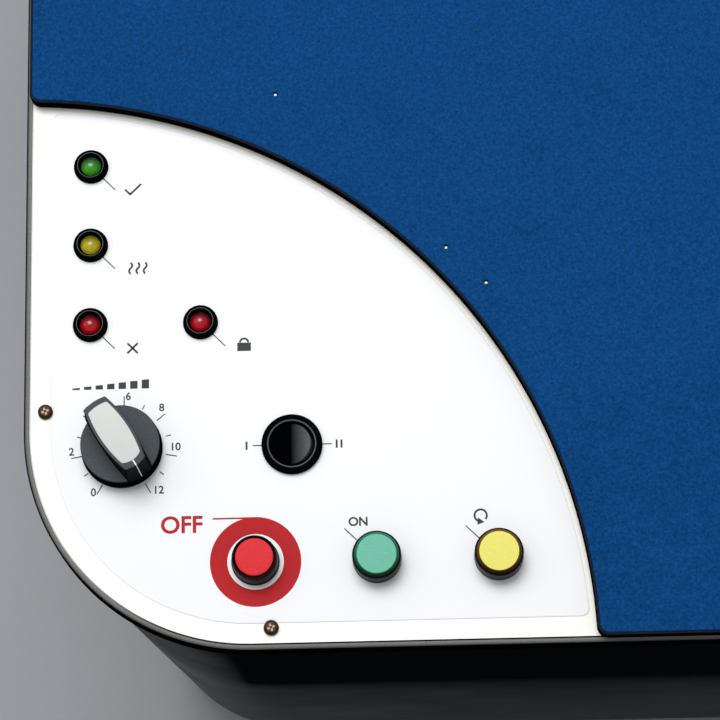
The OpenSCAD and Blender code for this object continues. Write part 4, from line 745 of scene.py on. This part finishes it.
class CASTING_OT_lid_edge(bpy.types.Operator):
    """Rubber edge round the lid, swept along its outline with a rounded lip"""
    bl_idname = "casting.lid_edge"
    bl_label = "Lid edge"

    def execute(self, context):
        settings = context.scene.casting_lid
        foot, top = (corner.z for corner in span("lid_trim"))
        seat, lip, inner = span("lid_skin")[0].z, settings.lip, 3.4
        profile = ([(inner, foot), (1.0, foot)] + arc(0.8, foot + 0.8, 0.8, 270, 180, 4)
                   + arc(lip * 0.8, top - 1.6, lip * 0.8, 180, 90, 9, tall=1.5)
                   + [(lip, top - 0.3), (lip, seat), (inner, seat)])
        # The trim's finish paints a highlight along its upper lip
        swept(profile, lid_outline(settings), "lid_edge_trim", "lid", "trim_black", stands_for=("lid_trim",))
        return {"FINISHED"}


class CASTING_OT_lid_skin(bpy.types.Operator):
    """Blue lid skin with a rolled upper edge, the window's opening and three pin holes"""
    bl_idname = "casting.lid_skin"
    bl_label = "Lid skin"

    def execute(self, context):
        settings = context.scene.casting_lid
        foot, top = (corner.z for corner in span("lid_skin"))
        r, edge, opening, pin = settings.edge_round, settings.lip + 0.04, 47.3, settings.pin_radius
        profile = ([(4.5, foot), (edge, foot)] + arc(edge + r, top - r, r, 180, 90, 5)
                   + [(edge + r + 0.4, top)])
        bm = bmesh.new()
        edge_swept(bm, profile, *lid_outline(settings), closed=False)
        window = middle("window_frame")
        pins = [on_panel(x, y) for x, y in PIN_HOLES]
        for x, y, radius, count in [(window.x, window.y, opening, 96)] + [(*p, pin, 20) for p in pins]:
            made = bmesh.ops.create_circle(bm, segments=count, radius=radius,
                                           matrix=Matrix.Translation((x, y, top)))
            hole = list({e for v in made["verts"] for e in v.link_edges})
            wall = bmesh.ops.extrude_edge_only(bm, edges=hole)
            bmesh.ops.translate(bm, verts=verts_in(wall["geom"]), vec=(0.0, 0.0, foot - top))
        for level in (top, foot):
            open_edges = [e for e in bm.edges
                          if e.is_boundary and all(abs(v.co.z - level) < 0.001 for v in e.verts)]
            bmesh.ops.triangle_fill(bm, use_beauty=True, use_dissolve=False, edges=open_edges)
        made = piece(bm, "lid_skin_sheet", "lid", "lid_blue", stands_for=("lid_skin",))
        for polygon in made.data.polygons:
            polygon.use_smooth = abs(polygon.normal.z) < 0.9999

        bm = bmesh.new()
        head, sunk, back, end = pin * 0.68, 0.95, pin * 0.28, foot - top + 1.0
        profile = [(0.0, 0.25)] + arc(head - 0.25, 0.0, 0.25, 80, 0, 4) + [(head, end), (0.0, end)]
        for x, y in pins:
            turned(bm, (x, y - back, top - sunk), profile, steps=20)
        piece(bm, "lid_pin_heads", "lid", "overlay_white", "ink_white")
        return {"FINISHED"}


class CASTING_OT_seal(bpy.types.Operator):
    """Hollow-looking bulb seal between the lid and the chamber's flange"""
    bl_idname = "casting.seal"
    bl_label = "Chamber seal"

    def execute(self, context):
        low, high = span("chamber_seal")
        centre, h = (low + high) / 2, high.z - low.z
        bulb, flange, half = 2.0, 2.9, 3.0
        r = (high.x - low.x) / 2 - half
        profile = ([(r - flange, h), (r - flange, h - 0.9), (r - bulb, h - 1.1)]
                   + arc(r, h / 2 - 0.4, bulb, 150, 390, 12, tall=h / 2 - 0.5)
                   + [(r + bulb, h - 1.1), (r + flange, h - 0.9), (r + flange, h)])
        bm = bmesh.new()
        turned(bm, (centre.x, centre.y, low.z), profile, closed=True, steps=128)
        piece(bm, "chamber_seal_bulb", "lid", "rubber_black", stands_for=("chamber_seal",))
        return {"FINISHED"}


class CASTING_OT_screw_crosses(bpy.types.Operator):
    """Light bars in the cross recesses of the eight deck screws, just under the heads' tops: a painted
    highlight for the recesses' glint
    """
    bl_idname = "casting.screw_crosses"
    bl_label = "Screw crosses"

    def execute(self, context):
        near, far, arm, wide = 6.7, 91.6, 1.44, 0.8
        top = span("deck_screws")[1].z
        low, high = top - 1.18, top - 0.12
        bm = bmesh.new()
        for s in (-1, 1):
            for t in (-1, 1):
                for dx, dy in ((near, far), (far, near)):
                    cross(bm, s * (-LEFT - dx), t * (-FRONT - dy), arm, wide, low, high)
        piece(bm, "deck_screw_crosses", "housing", "screw_bronze", "screw_cross_painted_glint")
        return {"FINISHED"}


class CASTING_OT_rear_screws(bpy.types.Operator):
    """Pan-head screws that hold the rear panel and the fan's wire guard"""
    bl_idname = "casting.rear_screws"
    bl_label = "Rear screws"

    def execute(self, context):
        sheet, border, arm = 2.0, 7.0, 60.5
        fan = next(joint for joint in frame["record"]["behaviour"]["joints"] if joint["name"] == "fan_spin")
        out = Vector(fan["axis"])
        up = Vector((0.0, -out.z, out.y))
        plane = axes_at((-1.0, 0.0, 0.0), up, out, middle("rear_panel") + out * sheet / 2)
        low, high = span("rear_panel")
        across, tall = high.x - border, (high.z - low.z) / 2 - border
        spots = [(x, y, 3.0, 2.0) for x in (-across, 0.0, across) for y in (-tall, tall)]
        reach, hub = arm * math.sqrt(0.5), -middle("fan_frame").x
        spots += [(hub + s * reach, t * reach, 4.0, 4.0) for s in (-1, 1) for t in (-1, 1)]
        # The crosses are dark bars on flat heads: painted shade where the recesses would be
        pan_heads(spots, plane, "rear_screw", "housing", "steel", "bezel_black")
        return {"FINISHED"}


class CASTING_OT_lid_screws(bpy.types.Operator):
    """Pan-head screws that hold the window's frame and the hinge leaves to the lid"""
    bl_idname = "casting.lid_screws"
    bl_label = "Lid screws"

    def execute(self, context):
        head = (2.3, 1.3)
        low, high = span("window_frame")
        hub, r = (low + high) / 2, (high.x - low.x) / 2 - 6.6
        ways = [heading(30.0 + 60.0 * i) * r for i in range(6)]
        frame_spots = [(hub.x + way.x, hub.y + way.y, *head) for way in ways]
        low, leaf = span("lid_hinge_leaves")
        wide, thick = 16.0, 3.0
        leaf_spots = [(s * (leaf.x - wide / 2), low.y + y, *head) for s in (-1, 1) for y in (6.0, 17.0)]
        for spots, top, name in ((frame_spots, high.z, "window_screw"),
                                 (leaf_spots, span("lid_skin")[1].z + thick, "hinge_screw")):
            plane = Matrix.Translation((0.0, 0.0, top))
            # The crosses are light bars on flat heads: a painted highlight where the recesses would be
            pan_heads(spots, plane, name, "lid", "screw_bronze", "screw_cross_painted_glint")
        return {"FINISHED"}


class CASTING_OT_film_edge(bpy.types.Operator):
    """Fine cut edge round the panel's film"""
    bl_idname = "casting.film_edge"
    bl_label = "Film edge"

    def execute(self, context):
        settings = context.scene.casting_lid
        low, high = span("panel_overlay")
        gap, tip, wide, half = 2.0, 3.0, 0.32, 0.02
        r, corner = settings.arc_radius - gap, settings.corner_radius
        cx, cy = LEFT + corner, FRONT + corner
        hub, a, b, a_turn, b_turn = arc_ends(settings, r - tip, low.x + tip, low.y + tip)
        under, top = high.z - half, high.z + half
        profile = [(0.0, under), (0.0, top), (wide, top), (wide, under)]
        runs = [
            ("turn", hub, a_turn - b_turn, 90),
            ("turn", tuple(a), 180.0 - a_turn, 8),
            ("go", (0.0, cy - a.y)),
            ("turn", (cx, cy), 90.0, 28),
            ("go", (b.x - cx, 0.0)),
            ("turn", tuple(b), 90.0 + b_turn, 8),
        ]
        outline = ((hub, r, b_turn, -1.0), runs)
        swept(profile, outline, "film_edge", "housing", "overlay_white", "film_edge")
        return {"FINISHED"}


class CASTING_OT_panel_print(bpy.types.Operator):
    """Leader lines, signs and the red ring printed on the panel"""
    bl_idname = "casting.panel_print"
    bl_label = "Panel print"

    def execute(self, context):
        settings = context.scene.casting_panel
        low, high = ink_levels(settings)
        leaders = [(x + 4.6, y - 4.6, x + 9.4, y - 9.5) for x, y in LAMP_SPOTS]
        leaders += [(x - 6.3, BUTTON_ROW + 6.3, x - 12.0, BUTTON_ROW + 11.9) for x in (START_X, CASTING_X)]
        leaders += [(x1, ROCKER_ROW, x2, ROCKER_ROW) for x1, x2 in ((85.3, 89.2), (111.2, 115.2))]
        bm = bmesh.new()
        for x1, y1, x2, y2 in leaders:
            bar(bm, on_panel(x1, y1), on_panel(x2, y2), settings.line_width, low, high)
        piece(bm, "leader_lines", "housing", "overlay_white", "ink_grey")

        bm = bmesh.new()
        self.signs(bm, low, high)
        piece(bm, "panel_signs", "housing", "overlay_white", "ink_grey")

        bm = bmesh.new()
        x, y = on_panel(STOP_X, BUTTON_ROW)
        outer, inner = settings.ring_outer / 2, settings.ring_inner / 2
        ring = [(inner, low), (outer, low), (outer, high), (inner, high)]
        turned(bm, (x, y, 0.0), ring, closed=True, steps=96)
        bar(bm, (x - 16.0, y + outer - 0.32), (x, y + outer - 0.32), 0.62, low, high - 0.005)
        numeral(bm, "OFF", (x - 27.6, y + outer - 2.3), 6.6, low, high, bold=0.2)
        piece(bm, "stop_ring", "housing", "overlay_white", "ink_red")
        return {"FINISHED"}

    def signs(self, bm, low, high):
        """Plain signs: tick, heat waves, cross, padlock, ramp, I and II, ON, and a turning arrow."""
        wide = 0.75

        def strokes(x, y, *lines):
            x, y = on_panel(x, y)
            for x1, y1, x2, y2 in lines:
                bar(bm, (x + x1, y + y1), (x + x2, y + y2), wide, low, high)

        strokes(39.8, 179.6, (-3.0, 0.2, -0.9, -1.9), (-1.16, -1.92, 3.2, 2.4))
        x, y = on_panel(41.8, 147.9)
        for step in (-2.8, 0.0, 2.8):
            band(bm, (x + step - 0.72, y + 1.1), 1.3, wide, -58, 58, low, high, 8)
            band(bm, (x + step + 0.72, y - 1.1), 1.3, wide, 122, 238, low, high, 8)
        strokes(39.8, 116.0, (-2.0, -2.0, 2.0, 2.0), (-2.0, 2.0, 2.0, -2.0))
        x, y = on_panel(82.4, 116.2)
        case = ((-2.6, -2.4), (2.6, -2.4), (2.6, 0.9), (-2.6, 0.9))
        flat_shape(bm, [(x + dx, y + dy) for dx, dy in case], low, high)
        band(bm, (x, y + 1.0), 1.55, wide, 0, 180, low, high, 12)
        x, y = on_panel(31.4, 101.6)
        for i in range(7):
            left, right, base, rise = x - 14.5 + 4.4 * i, x - 11.7 + 4.4 * i, y - 1.6, 0.46 * i
            flat_shape(bm, [(left, base), (right, base), (right, y - 0.75 + rise), (left, y - 0.95 + rise)],
                       low, high)
        strokes(83.0, ROCKER_ROW, (0.0, -1.6, 0.0, 1.6))
        strokes(118.0, ROCKER_ROW, (-0.9, -1.6, -0.9, 1.6), (0.9, -1.6, 0.9, 1.6))
        numeral(bm, "ON", on_panel(124.6, 46.4), 3.4, low, high, bold=0.12)
        x, y = on_panel(170.6, 47.6)
        r, first, last = 2.3, -40, 250
        band(bm, (x, y), r, wide, first, last, low, high, 24)
        way = heading(last) * r
        point = ((-0.25, 1.4), (-0.55, -1.4), (2.1, -0.4))
        flat_shape(bm, [(x + way.x + dx, y + way.y + dy) for dx, dy in point], low, high)


class CASTING_OT_dial_scale(bpy.types.Operator):
    """Ticks and numerals from 0 to 12 round the power knob"""
    bl_idname = "casting.dial_scale"
    bl_label = "Dial scale"

    def execute(self, context):
        settings = context.scene.casting_panel
        low, high = ink_levels(settings)
        hub, last = middle("potentiometer"), settings.last_number
        centre = hub.xy + Vector((0.7, 0.2))
        bm = bmesh.new()
        for i in range(last + 1):
            way = heading(-120.0 - i * 300.0 / last).xy
            first, end = (16.2, 20.3) if i % 2 == 0 else (16.5, 18.4)
            bar(bm, centre + way * first, centre + way * end, 0.42, low, high)
        for words, dx, dy in (("0", -10.8, -16.6), ("2", -19.2, -0.7), ("4", -13.9, 15.4), ("6", 2.3, 20.5),
                              ("8", 15.0, 15.8), ("10", 20.5, 0.4), ("12", 14.1, -16.2)):
            numeral(bm, words, (hub.x + dx, hub.y + dy), settings.numeral_height, low, high, bold=0.08)
        piece(bm, "dial_scale", "housing", "overlay_white", "ink_grey")
        return {"FINISHED"}


class CASTING_OT_lamps(bpy.types.Operator):
    """Four signal lamps: bezels, a thin light ring at each well's lip that is partly a lighter edge and
    partly a painted highlight, and domed lenses
    """
    bl_idname = "casting.lamps"
    bl_label = "Signal lamps"

    def execute(self, context):
        low, high = span("lamp_lenses_red")
        r = (high.y - low.y) / 2
        lamps = (("green", "lamp_lens_green", [middle("lamp_lens_green").xy]),
                 ("yellow", "lamp_lens_yellow", [middle("lamp_lens_yellow").xy]),
                 ("red", "lamp_lenses_red", [Vector((x, low.y + r)) for x in (low.x + r, high.x - r)]))
        every = [p for _, _, points in lamps for p in points]
        bezel = ([(0.0, 0.65), (3.85, 0.65), (3.9, 0.95), (4.75, 2.7), (4.95, 3.0), (5.1, 3.06)]
                 + arc(5.3, 0.0, 1.4, 82, 10, 8, tall=3.1)
                 + [(6.7, 0.3), (6.7, 0.0), (4.0, 0.0), (4.0, -2.25), (6.0, -2.25), (6.0, -5.25),
                    (4.0, -5.25), (4.0, -16.0), (0.0, -16.0)])
        lathed([(p, bezel) for p in every], "lamp_bezel_set", "housing", "black_gloss", "bezel_black",
               ("lamp_bezels",))
        # Thin light rings at the wells' lips: partly a lighter edge, partly a painted highlight
        lathed([(p, thread(5.0, 3.02, 0.07)) for p in every], "lamp_well_edges", "housing", "black_gloss",
               "well_edge", closed=True)
        wide, tall, seat = 3.8, 2.0, 0.9
        ball = (wide ** 2 + tall ** 2) / (2 * tall)
        side = 90.0 - math.degrees(math.asin(wide / ball))
        dome = arc(0.0, seat + tall - ball, ball, 90.0, side, 8) + [(wide, 0.66), (0.0, 0.66)]
        for colour, node, points in lamps:
            lathed([(p, dome) for p in points], "lamp_dome_" + colour, "housing", "lens_" + colour,
                   stands_for=(node,))
        return {"FINISHED"}


class CASTING_OT_buttons(bpy.types.Operator):
    """Three push-buttons: collars on the panel, caps and their faces on the moving bodies"""
    bl_idname = "casting.buttons"
    bl_label = "Push-buttons"

    def execute(self, context):
        stop, start, casting = (middle(node).xy for node in ("stop_cap", "start_cap", "casting_cap"))
        steps = 72
        foot = [(7.9, 0.0), (7.9, -2.25), (10.5, -2.25), (10.5, -6.25), (7.9, -6.25), (7.9, -26.0),
                (3.1, -26.0), (3.1, 0.3)]
        tall = ([(7.62, 0.3), (7.62, 8.3)] + arc(8.0, 8.55, 0.35, 180, 0, 6)
                + [(8.5, 7.6), (8.62, 1.75), (8.45, 1.6), (8.45, 1.4), (8.75, 1.25)]
                + arc(8.75, 0.95, 0.3, 60, 0, 3) + [(9.05, 0.0)] + foot)
        short = ([(8.5, 0.3), (8.5, 8.0)] + arc(8.65, 8.1, 0.15, 180, 90, 3) + arc(8.75, 7.85, 0.4, 90, 0, 4)
                 + [(9.15, 1.4), (8.95, 1.25), (8.95, 1.05), (9.2, 0.9), (9.2, 0.0)] + foot)
        lathed([(stop, tall), (start, short), (casting, short)], "button_collar_set", "housing", "black_matt",
               "collar_black", ("button_collars",), closed=True, steps=steps)
        # Thin grey rings at the collars' steps: a painted highlight along each step
        low_edge, high_edge = thread(9.12, 1.6, 0.09), thread(8.64, 1.7, 0.09)
        lathed([(start, low_edge), (casting, low_edge), (stop, high_edge)], "collar_edges", "housing",
               "black_matt", "edge_grey", closed=True, steps=steps)

        stem = [(3.0, 3.0), (3.0, -18.0), (0.0, -18.0)]
        cap = [(0.0, 9.5), (6.5, 9.46)] + arc(6.7, 9.05, 0.4, 80, 0, 4) + [(7.1, 3.0)] + stem
        lathed([(stop, cap)], "stop_button_cap", "stop_button", "cap_red", None, ("stop_cap",), steps=steps)
        cap = [(0.0, 10.2), (7.3, 10.2)] + arc(7.3, 8.7, 1.1, 82, 10, 6, tall=1.5) + [(8.4, 3.0)] + stem
        face = [(0.0, 10.34), (7.1, 10.3)] + arc(7.25, 10.14, 0.15, 80, 0, 3) + [(7.4, 10.0), (0.0, 10.0)]
        # Each lens body takes its rim's painted shade and light
        for body, node, spot, slot, rim in (
                ("start_button", "start_cap", start, "cap_green", "rim_green_painted_shading"),
                ("casting_button", "casting_cap", casting, "cap_yellow", "rim_amber_painted_shading")):
            lathed([(spot, cap)], node + "_lens", body, slot, rim, (node,), steps=steps)
            lathed([(spot, face)], node + "_face", body, slot, steps=steps)
        return {"FINISHED"}


class CASTING_OT_rocker(bpy.types.Operator):
    """Round rocker switch: bezel with a chamfered bore, and a dished actuator tipped to one side"""
    bl_idname = "casting.rocker"
    bl_label = "Rocker switch"

    def execute(self, context):
        p = middle("rocker_bezel").xy
        bezel = ([(8.6, 1.0), (8.75, 1.9), (9.35, 2.5), (9.5, 2.55)] + arc(10.3, 1.4, 1.2, 88, 0, 8)
                 + [(11.5, 0.0), (9.9, 0.0), (9.9, -24.0), (0.0, -24.0), (0.0, -16.0), (8.6, -16.0)])
        # A grey ring on the bore's chamfer: partly a lighter edge and partly a painted highlight
        edge = [(8.84, 1.95), (9.24, 2.4), (9.28, 2.5), (8.8, 2.06)]
        lathed([(p, bezel)], "rocker_bezel_ring", "housing", "black_gloss", "bezel_black", ("rocker_bezel",),
               steps=96)
        lathed([(p, edge)], "rocker_bezel_edge", "housing", "black_gloss", "edge_grey", closed=True, steps=96)

        radius, high, rounding, foot = 7.9, 6.0, 0.5, -4.0
        dish, soft, sunk, tipped, pivot = 0.25, 1.2, 2.0, -7.0, -3.25
        face = [(radius * i / 12, high) for i in range(12)]
        face += arc(radius - rounding, high - rounding, rounding, 90, 0, 8)
        bm = bmesh.new()
        turned(bm, (0.0, 0.0, 0.0), face + [(radius, foot), (0.0, foot)], steps=72)
        for v in bm.verts:
            if v.co.z > 0.0:
                v.co.z += dish * math.hypot(v.co.x, soft) - sunk
        for side in (-1, 1):
            across = Matrix.Translation((0.0, side * 8.4, 0.0)) @ Matrix.Rotation(math.pi / 2, 4, "X")
            bmesh.ops.create_cone(bm, cap_ends=True, segments=24, radius1=1.5, radius2=1.5, depth=2.1,
                                  matrix=across)
        tip = Matrix.Translation((p.x, p.y, PANEL_Z + pivot)) @ Matrix.Rotation(math.radians(tipped), 4, "Y")
        bmesh.ops.transform(bm, matrix=tip, verts=bm.verts)
        # The paddle's finish paints a sheen on its raised half
        piece(bm, "rocker_paddle", "rocker", "black_gloss", "rocker_painted_sheen", ("rocker_actuator",), 40.0)
        return {"FINISHED"}


class CASTING_OT_knob(bpy.types.Operator):
    """Pointer knob: skirt, bevelled wing with a sloping nose, grey inlay and white pointer line"""
    bl_idname = "casting.knob"
    bl_label = "Power knob"

    def execute(self, context):
        hub, sharp, rest_turn = middle("potentiometer"), 38.0, -57.0
        skirt = ([(0.0, 8.5), (14.3, 8.5)] + arc(14.4, 7.9, 0.6, 80, 4, 5)
                 + [(15.45, 0.9), (15.3, 0.6), (10.0, 0.6), (10.0, 6.0), (3.0, 6.0), (3.0, -12.0),
                    (0.0, -12.0)])
        knob, inlay, line = bmesh.new(), bmesh.new(), bmesh.new()
        turned(knob, (0.0, 0.0, 0.0), skirt, steps=96)
        bmesh.ops.remove_doubles(knob, verts=knob.verts, dist=0.0005)
        self.wing(knob, 0.0, 16.1, 15.7, 8.0, WING_TOP, nose=True)
        self.wing(inlay, 1.1, 13.9, 11.0, WING_TOP - 0.4, WING_TOP + 0.12)
        bar(line, (11.05, 0.0), (13.3, 0.0), 0.5, WING_TOP - 0.1, WING_TOP + 0.06)
        slope = (Matrix.Translation((NOSE_X - 0.05, 0.0, WING_TOP))
                 @ Matrix.Rotation(math.atan2(NOSE_DROP, NOSE_RUN), 4, "Y")
                 @ Matrix.Translation((5.4, 0.0, 0.0)) @ Matrix.Diagonal((10.6, 0.34, 0.26, 1.0)))
        bmesh.ops.create_cube(line, size=1.0, matrix=slope)
        place = (Matrix.Translation((hub.x, hub.y, PANEL_Z))
                 @ Matrix.Rotation(math.radians(rest_turn), 4, "Z"))
        for bm in (knob, inlay, line):
            bmesh.ops.transform(bm, matrix=place, verts=bm.verts)
        # The knob's finish paints shade on its sides and light on its tops
        piece(knob, "pointer_knob", "knob", "knob_charcoal", stands_for=("power_knob",), sharp=sharp)
        piece(inlay, "knob_inlay_plate", "knob", "inlay_grey", stands_for=("knob_inlay",), sharp=sharp)
        piece(line, "knob_pointer_line", "knob", "inlay_grey", "ink_white")
        return {"FINISHED"}

    def wing(self, bm, inset, far, near, low, high, nose=False):
        """A bar with bowed sides and round ends along +X; with a nose, its front slopes to the skirt."""
        half, crown, widest = 6.6 - inset, 48.0, -2.0
        bow = 2.3 * crown if nose else crown
        a = math.degrees(math.asin((near - 1.2 - widest) / bow))
        b = math.degrees(math.asin((far - 0.6 + widest) / bow))
        sides = arc(widest, half - bow, bow, 90.0 - a, 90.0 + b, 16)

        def round_end(end, side, height):
            return [(end - (end - side) * share ** 2, height * share) for share in (0.0, 0.25, 0.5, 0.75)]

        upper = round_end(near, *sides[0]) + sides + round_end(-far, *sides[-1])[::-1]
        lower = [(x, -y) for x, y in reversed(upper) if y > 1e-6]
        fresh = bmesh.new()
        top = flat_shape(fresh, upper + lower, low, high)
        bmesh.ops.recalc_face_normals(fresh, faces=fresh.faces)
        if nose:
            for v in top:
                reach = (v.co.x - widest) ** 2 / 2
                v.co.y *= (half - reach / crown) / (half - reach / bow)
            crest = 11.5
            for turn in (0, -12, 12, -24, 24):
                c, s, _ = heading(turn)
                cut = bmesh.ops.bisect_plane(
                    fresh, geom=fresh.verts[:] + fresh.edges[:] + fresh.faces[:], dist=1e-4, clear_outer=True,
                    plane_co=(NOSE_X - crest + crest * c, crest * s, WING_TOP),
                    plane_no=(NOSE_DROP * c, NOSE_DROP * s, NOSE_RUN))
                edges = edges_in(cut["geom_cut"])
                if edges:
                    bmesh.ops.contextual_create(fresh, geom=edges)
            bmesh.ops.recalc_face_normals(fresh, faces=fresh.faces)
        crisp = [e for e in fresh.edges if len(e.link_faces) == 2 and e.calc_face_angle() > math.radians(20)
                 and max(v.co.z for v in e.verts) > low + 0.01]
        bmesh.ops.bevel(fresh, geom=crisp, offset=0.35 if nose else 0.15, offset_type="OFFSET",
                        affect="EDGES", segments=3, profile=0.5, material=-1, clamp_overlap=True)
        mesh = bpy.data.meshes.new("wing")
        fresh.to_mesh(mesh)
        fresh.free()
        bm.from_mesh(mesh)
        bpy.data.meshes.remove(mesh)


class CASTING_PT_sidebar(bpy.types.Panel):
    """Lists the steps that dress the casting machine"""
    bl_idname = "CASTING_PT_sidebar"
    bl_label = "Casting machine"
    bl_space_type = "VIEW_3D"
    bl_region_type = "UI"
    bl_category = "Casting machine"

    def draw(self, context):
        for step in STEPS:
            self.layout.operator(step.bl_idname)
        for name, settings in GROUPS:
            column = self.layout.column()
            for setting in settings.__annotations__:
                column.prop(getattr(context.scene, name), setting)


STEPS = (
    CASTING_OT_stage, CASTING_OT_finishes, CASTING_OT_rim, CASTING_OT_lid_edge, CASTING_OT_lid_skin,
    CASTING_OT_seal, CASTING_OT_screw_crosses, CASTING_OT_rear_screws, CASTING_OT_lid_screws,
    CASTING_OT_film_edge, CASTING_OT_panel_print, CASTING_OT_dial_scale, CASTING_OT_lamps,
    CASTING_OT_buttons, CASTING_OT_rocker, CASTING_OT_knob)
GROUPS = (("casting_lid", LidSettings), ("casting_panel", PanelSettings), ("casting_finish", FinishSettings),
          ("casting_stage", StageSettings))


def register():
    for name, group in GROUPS:
        bpy.utils.register_class(group)
        setattr(bpy.types.Scene, name, PointerProperty(type=group))
    for step in STEPS:
        bpy.utils.register_class(step)
    bpy.utils.register_class(CASTING_PT_sidebar)


def unregister():
    bpy.utils.unregister_class(CASTING_PT_sidebar)
    for step in reversed(STEPS):
        bpy.utils.unregister_class(step)
    for name, group in reversed(GROUPS):
        delattr(bpy.types.Scene, name)
        bpy.utils.unregister_class(group)


def main():
    register()
    bpy.ops.casting.stage()
    bpy.ops.casting.finishes()
    bpy.ops.casting.rim()
    bpy.ops.casting.lid_edge()
    bpy.ops.casting.lid_skin()
    bpy.ops.casting.seal()
    bpy.ops.casting.screw_crosses()
    bpy.ops.casting.rear_screws()
    bpy.ops.casting.lid_screws()
    bpy.ops.casting.film_edge()
    bpy.ops.casting.panel_print()
    bpy.ops.casting.dial_scale()
    bpy.ops.casting.lamps()
    bpy.ops.casting.buttons()
    bpy.ops.casting.rocker()
    bpy.ops.casting.knob()


if __name__ == "__main__":
    main()
